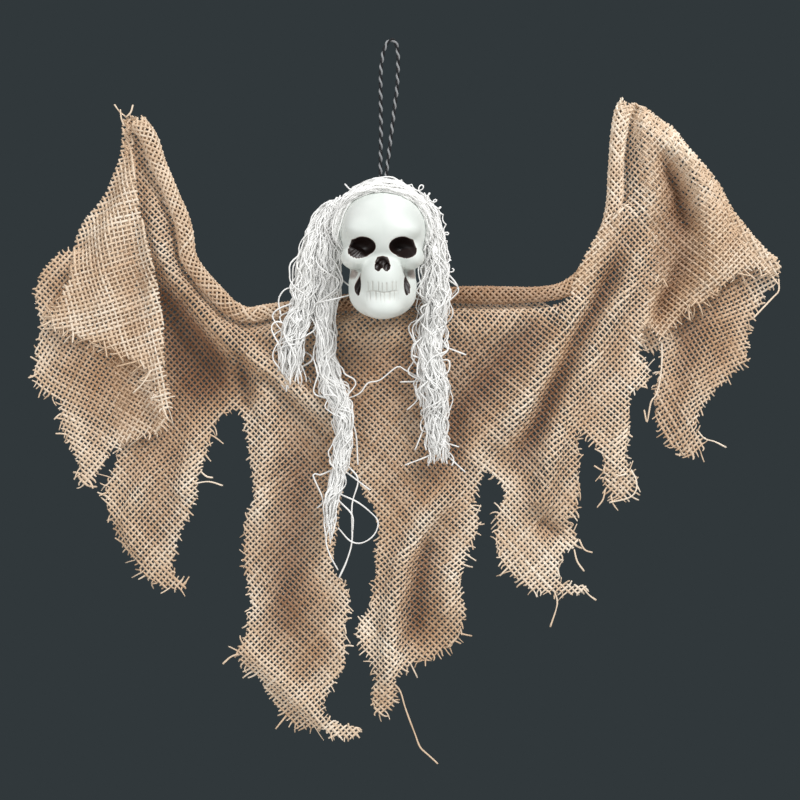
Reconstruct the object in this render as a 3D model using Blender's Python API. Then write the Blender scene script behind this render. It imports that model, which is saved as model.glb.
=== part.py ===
"""Hanging ghost ornament: torn hessian on a bent arm wire, with a moulded skull, cotton hair and a cord.

Millimetres inside the script, turned into metres where a mesh is made. The origin is the hanging point,
the inside top of the cord loop. +Z is up, the face looks along -Y, and X runs to the right as it is seen.
"""

import math

import bmesh
import bpy
import numpy as np
from mathutils import Vector

MM = 0.001

# Fits
FIT_GAP = 0.3  # between pieces that touch

# Cloth
CLOTH_THICKNESS = 1.3
WEAVE_PITCH = 11.0  # one modelled ridge stands for about five threads
WEAVE_SINK = 0.7  # how far the middle of a cell lies behind its ridges
GAP_INSET = 3.0
GAP_COUNT = 110
WHOLE_CELL_SHARE = 0.95  # a cell counts as whole from this share of a full one
CLOTH_DEPTH = 6.0  # resting depth of the cloth behind the hanging point
FOLD_FADE = (-0.12, 0.15)  # share of a fold's line over which it rises at each end
MAIN_THREADS_DEG = 45.0
MIDDLE_THREADS_DEG = 55.0
FLAP_THREADS_DEG = 15.0
BACK_THREADS_DEG = 30.0

# Rolled hem and the wire in it
ROLL_RADIUS = 4.2
ROLL_DEPTH = 8.0
ROLL_START_DEG = -18.0
ROLL_OPENING_DEG = 60.0
ROLL_STEPS = 8
ROLL_FACET_DEG = 20.0  # a little over half the turn of one facet of the roll
WIRE_RADIUS = 0.8
WIRE_SIDES = 8
WIRE_END_INSET = 3.0
ROUND_SIDES = 16
HEM_NEAR = 1.1  # in roll radii from the hem's line, where the cloth has met the hem
HEM_FAR = 2.4  # and where it starts to turn towards it
SHOULDER_FAR = 2.6
SHOULDER_CORNER = (84.0, -83.0)  # right of and below this the cloth doesn't hang from the hem
PASS_CORNER = (86.0, -81.0)  # and right of and below this it passes in front of it
LEFT_SINK = 3.5  # how far the left arm's cloth falls back under the layers that lie on it
LEFT_SINK_ENDS = (-95.0, -125.0)

# Skull
SKULL_CENTRE = (-4.6, -3.0, -95.0)
CRANIUM = (22.5, 27.0, 23.5)
SKULL_REACH = 70.0
SKULL_STEP = 0.5  # how finely the surface is looked for, from outside in
SKULL_HALVINGS = 14
SKULL_FACE_SHARE = 0.42  # of the finely cut skull's faces, how many stay
FACE_BIAS = (0.0, -0.45, -0.2)  # draws the skull's points towards its face
FINE_SKULL = 5
COARSE_SKULL = 4

# The masses that the skull is blended from and the hollows cut into it. Each has whether it is there on
# both sides, its centre from the middle of the cranium, its radii and the width of the blend.
SKULL_MASSES = {
    "brow": (True, (8.5, -19.0, -1.0), (9.0, 6.5, 4.5), 5.0),
    "cheekbone": (True, (14.2, -15.5, -14.0), (6.4, 8.0, 6.0), 5.0),
    "upper jaw": (False, (0.0, -17.5, -24.5), (10.5, 9.5, 12.0), 3.0),
    "lower jaw": (False, (0.0, -11.5, -31.5), (16.5, 12.0, 12.5), 2.5),
    "jaw branch": (True, (13.8, -7.0, -23.5), (3.2, 5.5, 10.0), 3.0),
    "chin": (False, (0.0, -19.5, -39.0), (8.5, 6.0, 5.2), 4.0),
    "base": (False, (0.0, 5.0, -24.0), (9.0, 8.0, 9.5), 4.0),
}
SKULL_HOLLOWS = {
    "jaw corner": (True, (24.0, -10.0, -21.0), (8.0, 9.0, 4.0), 3.0),
    "eye socket": (True, (10.4, -27.0, -9.5), (7.2, 10.0, 5.0), 0.8),
    "nose": (False, (0.0, -29.0, -16.2), (3.3, 7.0, 2.8), 0.8),
    "nostril": (True, (2.1, -29.0, -18.4), (1.8, 7.0, 2.4), 0.6),
    "cheek slit": (True, (12.0, -22.0, -27.0), (1.4, 10.0, 4.8), 1.0),
}

# Cord
CORD_DIAMETER = 2.0
CORD_SPACING = 2.5 * CORD_DIAMETER  # between the points of its centre line
HOLE_RUNOUT = 6.0  # how far the cord hole's cutter runs out past the cranium

# Hair
HAIR_THICKNESS = 2.6
HAIR_RIDGE = 0.5
CROWN_ACROSS = (-104.0, 8.0, 27)  # first angle, step and count from side to side
CROWN_ALONG = (-34.0, 8.5, 13)  # and from the brow to the back
CROWN_GAP = 0.39  # under the crown, a little more than a fit because its facets dip towards the skull
PARTING_DEG = 10.0  # cells whose middle is nearer than this to the cord are left open
LOCK_LOBES = 7
LOCK_LOBE_DEPTH = 0.16
LOCK_TWIST_DEG = 9.0
LOCK_FLATNESS = 0.78

# Route of the rolled hem in the plane of the cloth, from the left hand over the shoulders to the right.
ROLL_ROUTE = [
    (-127.5, -39.5), (-122.5, -47.0), (-120.0, -54.0), (-117.5, -61.0), (-114.0, -68.5), (-110.0, -78.0),
    (-106.0, -88.0), (-104.0, -97.0), (-103.0, -105.5), (-99.5, -112.5), (-94.0, -119.5), (-88.5, -125.5),
    (-81.5, -132.5), (-72.0, -136.25), (-63.0, -134.5), (-53.5, -133.5), (-36.0, -131.5),
    (-21.0, -129.75), (-3.5, -128.0), (14.0, -127.0), (34.0, -126.0), (54.0, -126.25), (74.0, -125.75),
    (86.5, -123.5), (95.5, -117.5), (101.0, -110.0), (106.5, -99.0), (110.5, -88.0), (112.25, -76.5),
    (112.75, -61.5), (114.0, -46.5), (116.0, -35.0), (118.0, -31.0),
]
SHOULDER_END_INDEX = 23  # the cloth leaves the hem before this route point, to pass in front of it
HAND_START_INDEX = 29  # and joins its back again here

# Outline of the main cloth, without the stretches that follow the hem.
LEFT_HAND = [(-134.5, -43.0), (-135.0, -37.0), (-130.5, -35.5), (-127.5, -37.0)]
RIGHT_SHOULDER = [
    (78.5, -132.0), (84.5, -130.5), (90.0, -126.5), (90.0, -122.0), (93.2, -113.5), (98.3, -103.5),
    (103.0, -95.5), (106.5, -88.5), (110.5, -85.5), (117.0, -82.0), (115.5, -72.0),
]
RIGHT_HAND = [
    (120.5, -27.5), (124.0, -30.0), (129.0, -33.5), (134.0, -38.0), (140.0, -41.5), (144.0, -46.5),
    (148.0, -52.0), (153.0, -57.5), (159.0, -64.0), (165.0, -71.5), (167.5, -77.0), (171.5, -84.0),
    (176.5, -90.0), (181.5, -96.0), (185.5, -100.5), (190.0, -105.0), (194.5, -108.0), (195.75, -113.0),
    (194.0, -118.5),
]
HOOD_HEM = [
    (190.0, -116.0), (186.0, -113.0), (179.0, -113.0), (173.0, -114.5), (168.0, -119.5), (163.0, -123.0),
    (158.0, -128.0), (153.0, -131.0), (147.0, -132.0), (144.0, -138.0), (140.0, -143.0), (136.0, -150.0),
    (132.0, -145.0), (128.0, -139.0),
]
RIGHT_SLEEVE_TAIL = [
    (125.5, -144.0), (124.5, -151.5), (124.0, -157.5), (128.5, -162.0), (129.0, -169.0), (124.0, -173.0),
    (119.0, -175.5), (118.5, -184.0), (119.0, -194.0), (118.0, -201.5), (117.0, -210.0), (121.0, -215.0),
    (122.5, -221.0), (119.0, -227.0), (110.5, -228.0), (107.5, -223.0), (107.0, -214.0), (107.0, -208.0),
    (103.0, -202.0), (98.0, -197.5), (93.5, -194.0), (91.0, -188.5),
]
RIGHT_TAIL = [
    (92.5, -199.0), (93.5, -209.0), (93.0, -219.0), (94.5, -223.5), (92.5, -229.0), (93.0, -235.0),
    (87.0, -238.5), (90.5, -243.0), (93.0, -248.0), (93.0, -253.0), (89.0, -253.5), (85.5, -256.5),
    (84.0, -261.5), (83.0, -266.5), (84.5, -271.0), (90.0, -272.0), (99.5, -273.0), (98.5, -275.5),
    (90.0, -277.0), (82.0, -274.5), (76.5, -275.0), (70.5, -274.5), (65.0, -270.5), (60.0, -265.5),
    (55.5, -260.5), (53.5, -254.0), (52.5, -249.0), (53.5, -243.0), (52.5, -236.5), (56.5, -230.0),
    (57.0, -225.0), (54.0, -220.0), (49.5, -218.0), (46.5, -213.5),
]
MIDDLE_TAIL = [
    (44.0, -220.0), (42.0, -224.5), (40.0, -229.0), (41.0, -234.5), (43.5, -239.5), (42.5, -245.0),
    (39.0, -251.5), (36.5, -258.0), (34.5, -264.5), (33.5, -271.5), (35.0, -279.0), (37.0, -285.0),
    (34.5, -292.0), (33.0, -299.0), (27.0, -304.0), (20.0, -308.0), (12.0, -310.0), (6.5, -313.5),
    (2.0, -318.0), (1.0, -322.0), (2.0, -327.0), (0.5, -333.0), (-4.0, -337.5), (-8.0, -336.5),
    (-9.5, -331.0), (-9.0, -324.0), (-8.0, -318.0), (-9.5, -312.5), (-12.0, -307.0), (-15.5, -301.5),
    (-17.0, -295.0), (-15.5, -289.0), (-12.0, -284.5), (-9.0, -279.0), (-8.5, -271.5), (-7.5, -264.0),
    (-8.5, -257.0), (-7.0, -249.0), (-6.5, -240.5), (-9.0, -233.0), (-13.0, -227.5), (-15.5, -222.0),
    (-17.5, -217.0), (-21.0, -213.0),
]
LONG_TAIL = [
    (-24.5, -219.0), (-26.0, -229.0), (-27.5, -239.0), (-28.5, -249.0), (-30.5, -256.5), (-31.0, -263.0),
    (-28.0, -267.5), (-24.0, -271.5), (-22.0, -278.0), (-22.0, -285.0), (-24.0, -291.5), (-24.5, -299.0),
    (-24.0, -306.5), (-24.5, -313.0), (-28.5, -319.0), (-32.0, -326.5), (-35.5, -331.0), (-35.5, -335.5),
    (-31.0, -340.0), (-26.0, -342.5), (-16.0, -344.0), (-16.5, -348.0), (-23.5, -349.0), (-30.0, -346.5),
    (-35.0, -343.5), (-43.5, -343.5), (-50.0, -342.0), (-55.0, -336.5), (-59.5, -330.0), (-64.0, -323.0),
    (-67.0, -317.5), (-73.0, -313.5), (-76.5, -308.0), (-76.5, -303.0), (-73.0, -297.0), (-72.5, -290.0),
    (-70.0, -284.0), (-71.5, -278.0), (-72.0, -271.5), (-73.0, -265.0), (-74.0, -258.0), (-73.5, -250.5),
    (-74.0, -244.0), (-72.0, -237.0), (-69.0, -230.5), (-69.0, -223.0), (-70.0, -215.0), (-71.5, -207.0),
    (-72.0, -199.0), (-73.5, -193.0), (-75.5, -186.5), (-78.0, -184.0),
]
LEFT_TAIL = [
    (-82.0, -185.0), (-87.0, -187.0), (-90.0, -192.0), (-92.0, -199.0), (-94.0, -206.5), (-97.0, -214.0),
    (-98.5, -221.5), (-97.5, -226.5), (-101.0, -233.0), (-104.0, -239.0), (-106.5, -246.5),
    (-108.5, -253.0), (-110.5, -259.0), (-111.5, -265.0), (-109.5, -269.0), (-103.5, -269.5),
    (-104.0, -272.5), (-112.0, -274.0), (-118.5, -271.5), (-124.0, -267.5), (-127.5, -262.5),
    (-131.5, -257.0), (-135.5, -251.5), (-139.0, -245.0), (-140.5, -239.0), (-143.5, -233.0),
    (-144.5, -226.5), (-143.0, -220.0), (-140.0, -214.0), (-138.0, -209.0), (-137.0, -202.0),
    (-139.0, -190.0), (-140.0, -170.0), (-141.0, -145.0), (-142.0, -120.0), (-142.5, -100.0),
    (-143.0, -88.0), (-143.0, -79.0), (-141.0, -72.5), (-138.0, -65.0), (-135.5, -58.0), (-134.5, -50.5),
]

# Layer between the main cloth and the front flap, with the torn tail at the far left.
MIDDLE_LAYER = [
    (-134.0, -60.0), (-136.0, -66.0), (-139.0, -73.0), (-142.5, -80.0), (-146.5, -85.5), (-149.5, -90.0),
    (-151.5, -96.0), (-153.5, -102.0), (-160.0, -103.5), (-165.0, -104.5), (-170.0, -108.0),
    (-174.5, -113.0), (-178.5, -121.5), (-179.0, -128.0), (-177.5, -134.0), (-176.0, -141.5),
    (-177.0, -148.5), (-179.5, -153.5), (-177.5, -158.0), (-179.0, -164.5), (-178.0, -170.5),
    (-175.0, -176.0), (-171.0, -177.5), (-165.5, -178.5), (-166.0, -185.0), (-165.0, -191.5),
    (-163.0, -197.5), (-160.0, -203.0), (-157.5, -210.0), (-155.5, -216.0), (-158.0, -219.5),
    (-156.0, -222.5), (-152.0, -221.5), (-148.5, -216.5), (-145.0, -211.0), (-142.0, -205.0),
    (-137.0, -200.0), (-131.0, -198.0), (-123.5, -195.5), (-116.0, -195.0), (-112.5, -189.0),
    (-117.0, -181.5), (-121.0, -169.0), (-125.0, -149.0), (-128.5, -129.0), (-132.0, -104.0),
    (-134.0, -80.0),
]

# Front flap that hangs from the left hand.
FRONT_FLAP = [
    (-136.2, -43.0), (-136.4, -37.5), (-132.0, -35.0), (-128.5, -38.0), (-129.5, -44.0), (-130.5, -51.5),
    (-129.5, -61.5), (-128.0, -71.5), (-126.0, -84.0), (-123.0, -95.0), (-120.0, -106.5),
    (-117.5, -119.0), (-116.0, -129.0), (-114.5, -141.5), (-114.0, -154.0), (-113.5, -166.5),
    (-111.5, -176.5), (-112.0, -186.0), (-115.0, -187.0), (-116.0, -180.5), (-117.5, -173.0),
    (-120.5, -169.0), (-121.5, -164.0), (-125.5, -160.5), (-130.5, -157.5), (-136.0, -156.0),
    (-139.5, -151.5), (-144.0, -150.5), (-150.0, -150.0), (-156.0, -147.0), (-162.0, -144.0),
    (-167.0, -143.0), (-171.0, -140.0), (-169.0, -135.0), (-167.0, -130.5), (-164.5, -125.0),
    (-161.5, -120.5), (-160.8, -114.0), (-160.8, -106.5), (-160.0, -99.0), (-158.0, -93.0),
    (-154.0, -86.5), (-148.0, -80.0), (-144.0, -74.0), (-141.0, -66.5), (-138.0, -59.0), (-136.5, -51.5),
]

# Layer behind the hood on the right hand, which comes out below it as a torn tail.
BACK_LAYER = [
    (167.5, -79.5), (171.0, -84.8), (176.0, -90.8), (181.0, -96.8), (185.0, -101.3), (189.5, -105.8),
    (193.6, -109.0), (194.8, -113.0), (193.0, -120.5), (188.0, -125.5), (186.5, -130.0), (182.5, -134.5),
    (180.0, -140.0), (179.5, -146.5), (178.5, -153.0), (179.0, -158.0), (175.5, -162.0), (171.5, -165.5),
    (167.5, -169.5), (163.5, -173.5), (159.5, -179.0), (156.0, -183.5), (154.0, -188.0), (153.0, -192.5),
    (155.0, -197.0), (157.5, -200.5), (156.5, -204.5), (153.5, -207.0), (148.0, -206.5), (143.5, -203.5),
    (140.0, -200.5), (137.0, -196.0), (134.5, -192.0), (134.0, -187.5), (133.5, -181.5), (133.0, -175.5),
    (135.0, -169.0), (136.5, -161.5), (137.0, -154.0), (135.5, -150.0), (132.5, -155.5), (128.5, -154.0),
    (125.5, -149.0), (126.0, -141.5), (128.0, -134.0), (131.5, -124.0), (136.5, -114.0), (144.0, -101.5),
    (154.0, -90.0), (162.0, -84.0),
]

# Edges where an outer layer turns over into the main cloth.
LEFT_TURN = [
    (-135.5, -36.5), (-136.0, -51.5), (-137.5, -59.0), (-140.5, -66.5), (-143.5, -74.0), (-147.5, -80.0),
    (-153.5, -86.5), (-157.5, -93.0), (-159.5, -99.0),
]
RIGHT_TURN = [
    (167.5, -77.0), (171.5, -84.0), (176.5, -90.0), (181.5, -96.0), (185.5, -100.5), (190.0, -105.0),
    (194.5, -108.5), (195.2, -113.0),
]

# Folds of the main cloth: height towards the viewer, half width, and the line that the fold follows.
MAIN_FOLDS = [
    (8.0, 5.5, [(-121, -81.5), (-117.5, -99), (-110, -116.5), (-98.5, -134), (-83.5, -148), (-65, -160),
                (-46, -175), (-26, -191.5)]),
    (-8.0, 11.0, [(-112, -128), (-101, -151), (-91, -176)]),
    (-4.0, 3.5, [(-77, -146.5), (-74.5, -164), (-73.5, -184)]),
    (4.5, 6.0, [(-65, -166.5), (-62, -194), (-65, -219), (-68.5, -239)]),
    (-5.0, 9.0, [(-46, -204), (-51, -259), (-56, -304)]),
    (6.0, 5.0, [(-71, -304), (-51, -324), (-31, -344)]),
    (8.0, 5.5, [(31.5, -224), (16.5, -239), (5, -259), (0, -284), (-1, -309), (-3.5, -324)]),
    (-5.5, 5.0, [(18, -249), (13, -274), (11.5, -299)]),
    (4.5, 5.0, [(31.5, -259), (26.5, -289)]),
    (3.5, 6.0, [(-61, -146.5), (-31, -145), (-1, -147), (29, -144), (64, -141)]),
    (-5.5, 7.0, [(76.5, -139), (54, -161.5), (31.5, -189), (24, -214)]),
    (5.0, 6.0, [(84, -151.5), (64, -179), (47.5, -199), (39, -214)]),
    (6.5, 5.5, [(104, -101.5), (96.5, -124), (84, -149), (71.5, -174), (56.5, -199)]),
    (-7.5, 5.0, [(115, -110), (104, -130), (91.5, -154), (81.5, -174), (73, -194), (64, -211.5)]),
    (6.0, 6.0, [(128, -99), (116.5, -124), (104, -149), (94, -169), (85, -189), (76.5, -214)]),
    (6.5, 5.0, [(149, -91.5), (138, -116.5), (129, -134), (125, -146.5)]),
    (4.0, 5.0, [(124, -164), (113, -194), (111.5, -219)]),
    (6.0, 6.0, [(81.5, -204), (74, -234)]),
    (-5.5, 5.0, [(74, -239), (84, -248)]),
    (5.0, 6.0, [(124, -34), (129, -54), (131.5, -71.5), (126.5, -91.5)]),
    (-8.0, 5.5, [(138, -59), (145, -74), (147.5, -91.5), (143, -110), (136, -129), (130, -141.5)]),
    (7.5, 8.0, [(134, -41.5), (151.5, -64), (160.5, -86.5), (163, -110), (156.5, -126.5)]),
    (6.0, 5.5, [(-121, -214), (-133.5, -239), (-126, -259)]),
    (4.0, 5.5, [(-98.5, -194), (-106, -229)]),
]
MIDDLE_FOLDS = [(3.0, 5.0, [(-151, -154), (-158.5, -189), (-153.5, -214)])]
FLAP_FOLDS = [
    (3.0, 6.0, [(-133, -60), (-140, -95), (-145, -135)]),
    (3.5, 4.0, [(-121, -110), (-116.5, -140), (-115, -175)]),
    (-2.5, 6.0, [(-130, -95), (-129, -125), (-131, -150)]),
]
BACK_FOLDS = [
    (3.0, 5.0, [(172, -120), (162, -150), (150, -178), (146, -203)]),
    (-2.5, 5.0, [(152, -135), (145, -165)]),
]
MIDDLE_LIFT = 5.0
FLAP_LIFT = 10.5
BACK_LEVEL = 4.0  # depth that the back layer sinks from, away from its turned edge
BACK_SINK = 9.5
TURN_WIDTH = 14.0  # how far from a turned edge the outer layer stands fully off
TURN_OVERLAP = 0.8  # how far the turned edge itself lies past the middle of the main cloth
MIDDLE_OVERLAP = TURN_OVERLAP / 3
TURN_SEAM = 3.5  # and how wide that edge is

# The loop of cord, hand-placed points of its centre line: up the left leg, over the top, down the right leg.
CORD_ROUTE = [
    (-5.8, 0.0, -77.2), (-5.8, 0.0, -70.0), (-5.7, 0.0, -58.0), (-5.5, 0.0, -46.0), (-5.6, 0.0, -34.0),
    (-5.7, 0.0, -22.0), (-5.4, 0.0, -12.0), (-4.0, 0.0, -4.0), (-2.2, 0.0, -0.2), (0.0, 0.0, 1.0),
    (1.9, 0.0, -0.6), (2.9, 0.0, -5.0), (3.0, 0.0, -12.0), (2.5, 0.0, -23.0), (1.3, 0.0, -32.0),
    (0.4, 0.0, -40.0), (-0.6, 0.0, -48.0), (-1.6, 0.0, -56.0), (-2.6, 0.0, -64.0), (-3.2, 0.0, -71.0),
    (-3.4, 0.0, -77.2),
]

# Hair locks: x, y, z and radius at each station, from the crown to the tip.
LEFT_OUTER_LOCK = [
    (-24.5, -2.0, -81.5, 3.0), (-31.0, -2.5, -85.5, 4.0), (-36.0, -3.0, -93.0, 4.2),
    (-39.5, -3.5, -101.5, 4.5), (-41.5, -3.5, -110.0, 5.0), (-42.5, -3.0, -120.0, 5.5),
    (-43.5, -2.5, -129.0, 6.0), (-46.5, -2.2, -139.0, 5.8), (-49.5, -1.8, -149.0, 5.2),
    (-50.5, -1.5, -158.0, 4.2), (-50.0, -1.0, -165.0, 2.0),
]
LEFT_INNER_LOCK = [
    (-23.5, -4.0, -79.0, 3.5), (-27.0, -5.0, -86.5, 4.5), (-30.0, -5.5, -96.5, 5.0),
    (-31.5, -5.5, -108.0, 5.2), (-31.5, -4.5, -119.0, 5.2), (-32.0, -3.0, -129.0, 4.5),
    (-33.0, -1.8, -141.5, 4.0), (-32.5, -1.5, -156.5, 4.0), (-30.5, -1.5, -169.0, 4.7),
    (-26.5, -2.5, -179.0, 4.7), (-23.5, -3.0, -189.0, 4.0), (-24.0, -2.0, -200.5, 3.3),
    (-25.5, -1.0, -210.5, 3.3), (-28.5, -0.5, -222.5, 3.0), (-30.5, -0.5, -235.0, 3.2),
    (-30.5, -0.5, -250.0, 2.0),
]
RIGHT_LOCK = [
    (14.0, -4.0, -79.0, 3.5), (19.5, -4.5, -87.0, 4.5), (23.0, -5.0, -99.0, 5.2),
    (22.5, -5.5, -110.0, 5.5), (21.5, -5.0, -121.5, 6.0), (22.0, -3.5, -131.5, 6.3),
    (20.0, -2.5, -144.0, 5.5), (19.5, -2.0, -156.5, 5.2), (21.0, -2.0, -169.0, 6.0),
    (22.0, -2.0, -179.0, 6.2), (22.0, -1.5, -189.0, 4.2), (23.0, -1.0, -199.0, 3.0),
    (24.0, -0.5, -209.0, 1.8),
]


def material(name, hex_colour, roughness, metallic=0.0):
    """A plain Principled material from an sRGB hex colour."""
    channels = [int(hex_colour[i : i + 2], 16) / 255 for i in (1, 3, 5)]
    linear = [c / 12.92 if c <= 0.04045 else ((c + 0.055) / 1.055) ** 2.4 for c in channels]
    made = bpy.data.materials.new(name)
    made.use_nodes = True
    shader = made.node_tree.nodes["Principled BSDF"]
    shader.inputs["Base Color"].default_value = (*linear, 1.0)
    shader.inputs["Roughness"].default_value = roughness
    shader.inputs["Metallic"].default_value = metallic
    return made


def add_object(name, bm, made_material, smooth_deg=None):
    """Turns a bmesh in millimetres into a named object in metres."""
    bmesh.ops.recalc_face_normals(bm, faces=bm.faces[:])
    bmesh.ops.scale(bm, vec=(MM, MM, MM), verts=bm.verts[:])
    mesh = bpy.data.meshes.new(name)
    bm.to_mesh(mesh)
    bm.free()
    mesh.materials.append(made_material)
    if smooth_deg is not None:
        mesh.shade_smooth()
        mesh.set_sharp_from_angle(angle=math.radians(smooth_deg))
    obj = bpy.data.objects.new(name, mesh)
    bpy.context.scene.collection.objects.link(obj)
    return obj


def hide(obj):
    """Marks an object that only shapes another one."""
    obj.hide_render = True
    obj.display_type = "WIRE"
    return obj


def boolean(obj, other, operation):
    """Joins another object to this one, or cuts it away."""
    modifier = obj.modifiers.new(f"{operation.lower()}_{other.name}", "BOOLEAN")
    modifier.operation = operation
    modifier.object = hide(other)


def smooth_step(low, high, value):
    t = np.clip((value - low) / (high - low), 0.0, 1.0)
    return t * t * (3.0 - 2.0 * t)


def line_distance(x, z, points):
    """Distance from each place to a line through the points, and how far along it (0 to 1) that is."""
    pts = np.asarray(points, float)
    starts = pts[:-1]
    steps = pts[1:] - starts
    lengths = np.hypot(steps[:, 0], steps[:, 1])
    before = np.concatenate([[0.0], np.cumsum(lengths)[:-1]])
    dx = x[:, None] - starts[:, 0]
    dz = z[:, None] - starts[:, 1]
    t = np.clip((dx * steps[:, 0] + dz * steps[:, 1]) / lengths**2, 0.0, 1.0)
    distance = np.hypot(dx - t * steps[:, 0], dz - t * steps[:, 1])
    nearest = distance.argmin(axis=1)
    rows = np.arange(len(x))
    along = (before[nearest] + t[rows, nearest] * lengths[nearest]) / lengths.sum()
    return distance[rows, nearest], along


def fold_lift(x, z, folds):
    """Sum of the folds at each place, each a soft ridge that fades at both ends of its line."""
    total = np.zeros(len(x))
    for height, width, points in folds:
        distance, along = line_distance(x, z, points)
        fade = smooth_step(*FOLD_FADE, along) * smooth_step(*FOLD_FADE, 1.0 - along)
        total += height * fade * np.exp(-((distance / width) ** 2))
    return total


def main_depth(x, z):
    """Depth of the main cloth: behind the hem that it hangs from, in front of it over the right shoulder."""
    depth = CLOTH_DEPTH - fold_lift(x, z, MAIN_FOLDS)
    depth += LEFT_SINK * smooth_step(*LEFT_SINK_ENDS, x)
    back = ROLL_DEPTH + ROLL_RADIUS - CLOTH_THICKNESS / 2
    front = ROLL_DEPTH - ROLL_RADIUS - CLOTH_THICKNESS / 4
    hung = ROLL_ROUTE[: SHOULDER_END_INDEX + 1], ROLL_ROUTE[HAND_START_INDEX - 1 :]
    for stretch in hung:
        distance, _ = line_distance(x, z, stretch)
        near = smooth_step(HEM_FAR * ROLL_RADIUS, HEM_NEAR * ROLL_RADIUS, distance)
        near = near * np.where((x > SHOULDER_CORNER[0]) & (z < SHOULDER_CORNER[1]), 0.0, 1.0)
        depth = depth * (1 - near) + back * near
    distance, _ = line_distance(x, z, ROLL_ROUTE[SHOULDER_END_INDEX:HAND_START_INDEX])
    near = smooth_step(SHOULDER_FAR * ROLL_RADIUS, HEM_NEAR * ROLL_RADIUS, distance)
    near = near * np.where((x > PASS_CORNER[0]) & (z < PASS_CORNER[1]), 1.0, 0.0)
    return depth * (1 - near) + front * near


def off_turn(x, z, turn):
    """How far an outer layer has left the cloth it turned over from: 0 at the turned edge, 1 well away."""
    distance, _ = line_distance(x, z, turn)
    share = np.clip((distance - TURN_SEAM) / TURN_WIDTH, 0.0, 1.0)
    return np.sin(math.pi / 2 * share)


def middle_depth(x, z):
    lift = MIDDLE_LIFT * off_turn(x, z, LEFT_TURN)
    return main_depth(x, z) + MIDDLE_OVERLAP - lift - fold_lift(x, z, MIDDLE_FOLDS)


def flap_depth(x, z):
    lift = FLAP_LIFT * off_turn(x, z, LEFT_TURN)
    return main_depth(x, z) + TURN_OVERLAP - lift - fold_lift(x, z, FLAP_FOLDS)


def back_depth(x, z):
    sink = BACK_SINK * off_turn(x, z, RIGHT_TURN)
    turned = at_right_turn(x, z)
    level = main_depth(x, z) * turned + BACK_LEVEL * (1.0 - turned)
    return level - TURN_OVERLAP + sink - fold_lift(x, z, BACK_FOLDS)


def at_right_turn(x, z):
    """1 at the turned edge on the right, where the back layer follows the main cloth, and 0 away from it."""
    distance, _ = line_distance(x, z, RIGHT_TURN)
    return 1.0 - smooth_step(TURN_SEAM, TURN_WIDTH, distance)


def cut_into_cells(bm, angle_deg):
    """Cuts a flat outline along both thread directions."""
    for turn in (0.0, 90.0):
        across = math.radians(angle_deg + turn)
        normal = Vector((math.cos(across), 0.0, math.sin(across)))
        places = [v.co.dot(normal) for v in bm.verts]
        first = math.ceil(min(places) / WEAVE_PITCH)
        last = math.floor(max(places) / WEAVE_PITCH)
        for step in range(first, last + 1):
            bmesh.ops.bisect_plane(
                bm, geom=bm.verts[:] + bm.edges[:] + bm.faces[:], dist=1e-4,
                plane_co=normal * (step * WEAVE_PITCH), plane_no=normal,
            )


def cloth_layer(name, outline, depth_of, angle_deg, gaps, made_material):
    """A torn sheet: cells between thread ridges, some of them open, laid over its folds and thickened."""
    bm = bmesh.new()
    bm.faces.new([bm.verts.new((x, 0.0, z)) for x, z in outline])
    cut_into_cells(bm, angle_deg)
    whole = [f for f in bm.faces if len(f.verts) == 4 and not any(e.is_boundary for e in f.edges)]
    whole = [f for f in whole if f.calc_area() > WHOLE_CELL_SHARE * WEAVE_PITCH**2]
    whole.sort(key=lambda f: (round(f.calc_center_median().x, 3), round(f.calc_center_median().z, 3)))
    open_cells = whole[:: max(1, math.ceil(len(whole) / gaps))] if gaps else []
    chosen = set(open_cells)
    closed_cells = [f for f in whole if f not in chosen]
    rest = [f for f in bm.faces if f not in set(whole)]
    bmesh.ops.triangulate(bm, faces=rest)
    sunk = bmesh.ops.poke(bm, faces=closed_cells)["verts"]
    if open_cells:
        bmesh.ops.inset_individual(bm, faces=open_cells, thickness=GAP_INSET)
        bmesh.ops.delete(bm, geom=open_cells, context="FACES_ONLY")
    places = np.array([v.co[:] for v in bm.verts])
    depth = depth_of(places[:, 0], places[:, 2])
    for vertex, y in zip(bm.verts, depth):
        vertex.co.y = y - CLOTH_THICKNESS / 2
    for vertex in sunk:
        vertex.co.y += WEAVE_SINK
    bmesh.ops.triangulate(bm, faces=bm.faces[:])
    grown = bmesh.ops.extrude_face_region(bm, geom=bm.faces[:])
    moved = [g for g in grown["geom"] if isinstance(g, bmesh.types.BMVert)]
    bmesh.ops.translate(bm, vec=(0.0, CLOTH_THICKNESS, 0.0), verts=moved)
    return add_object(name, bm, made_material)


def sweep(bm, rings):
    """Faces between closed rings of the same number of points, with both ends closed."""
    rows = [[bm.verts.new(p) for p in ring] for ring in rings]
    count = len(rows[0])
    for row, following in zip(rows, rows[1:]):
        for i in range(count):
            j = (i + 1) % count
            bm.faces.new((row[i], row[j], following[j], following[i]))
    bm.faces.new(rows[0][::-1])
    bm.faces.new(rows[-1])


def hem_frames(route):
    """Place and upward in-plane normal at each point of the hem's route."""
    pts = np.asarray(route, float)
    tangents = np.gradient(pts, axis=0)
    tangents /= np.hypot(tangents[:, 0], tangents[:, 1])[:, None]
    normals = np.stack([-tangents[:, 1], tangents[:, 0]], axis=1)
    return pts, normals


def hem_rings(route, section):
    """The section's (up, back) points set out around each point of the route."""
    pts, normals = hem_frames(route)
    return [
        [(x + up * nx, ROLL_DEPTH + back, z + up * nz) for up, back in section]
        for (x, z), (nx, nz) in zip(pts, normals)
    ]


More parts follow.
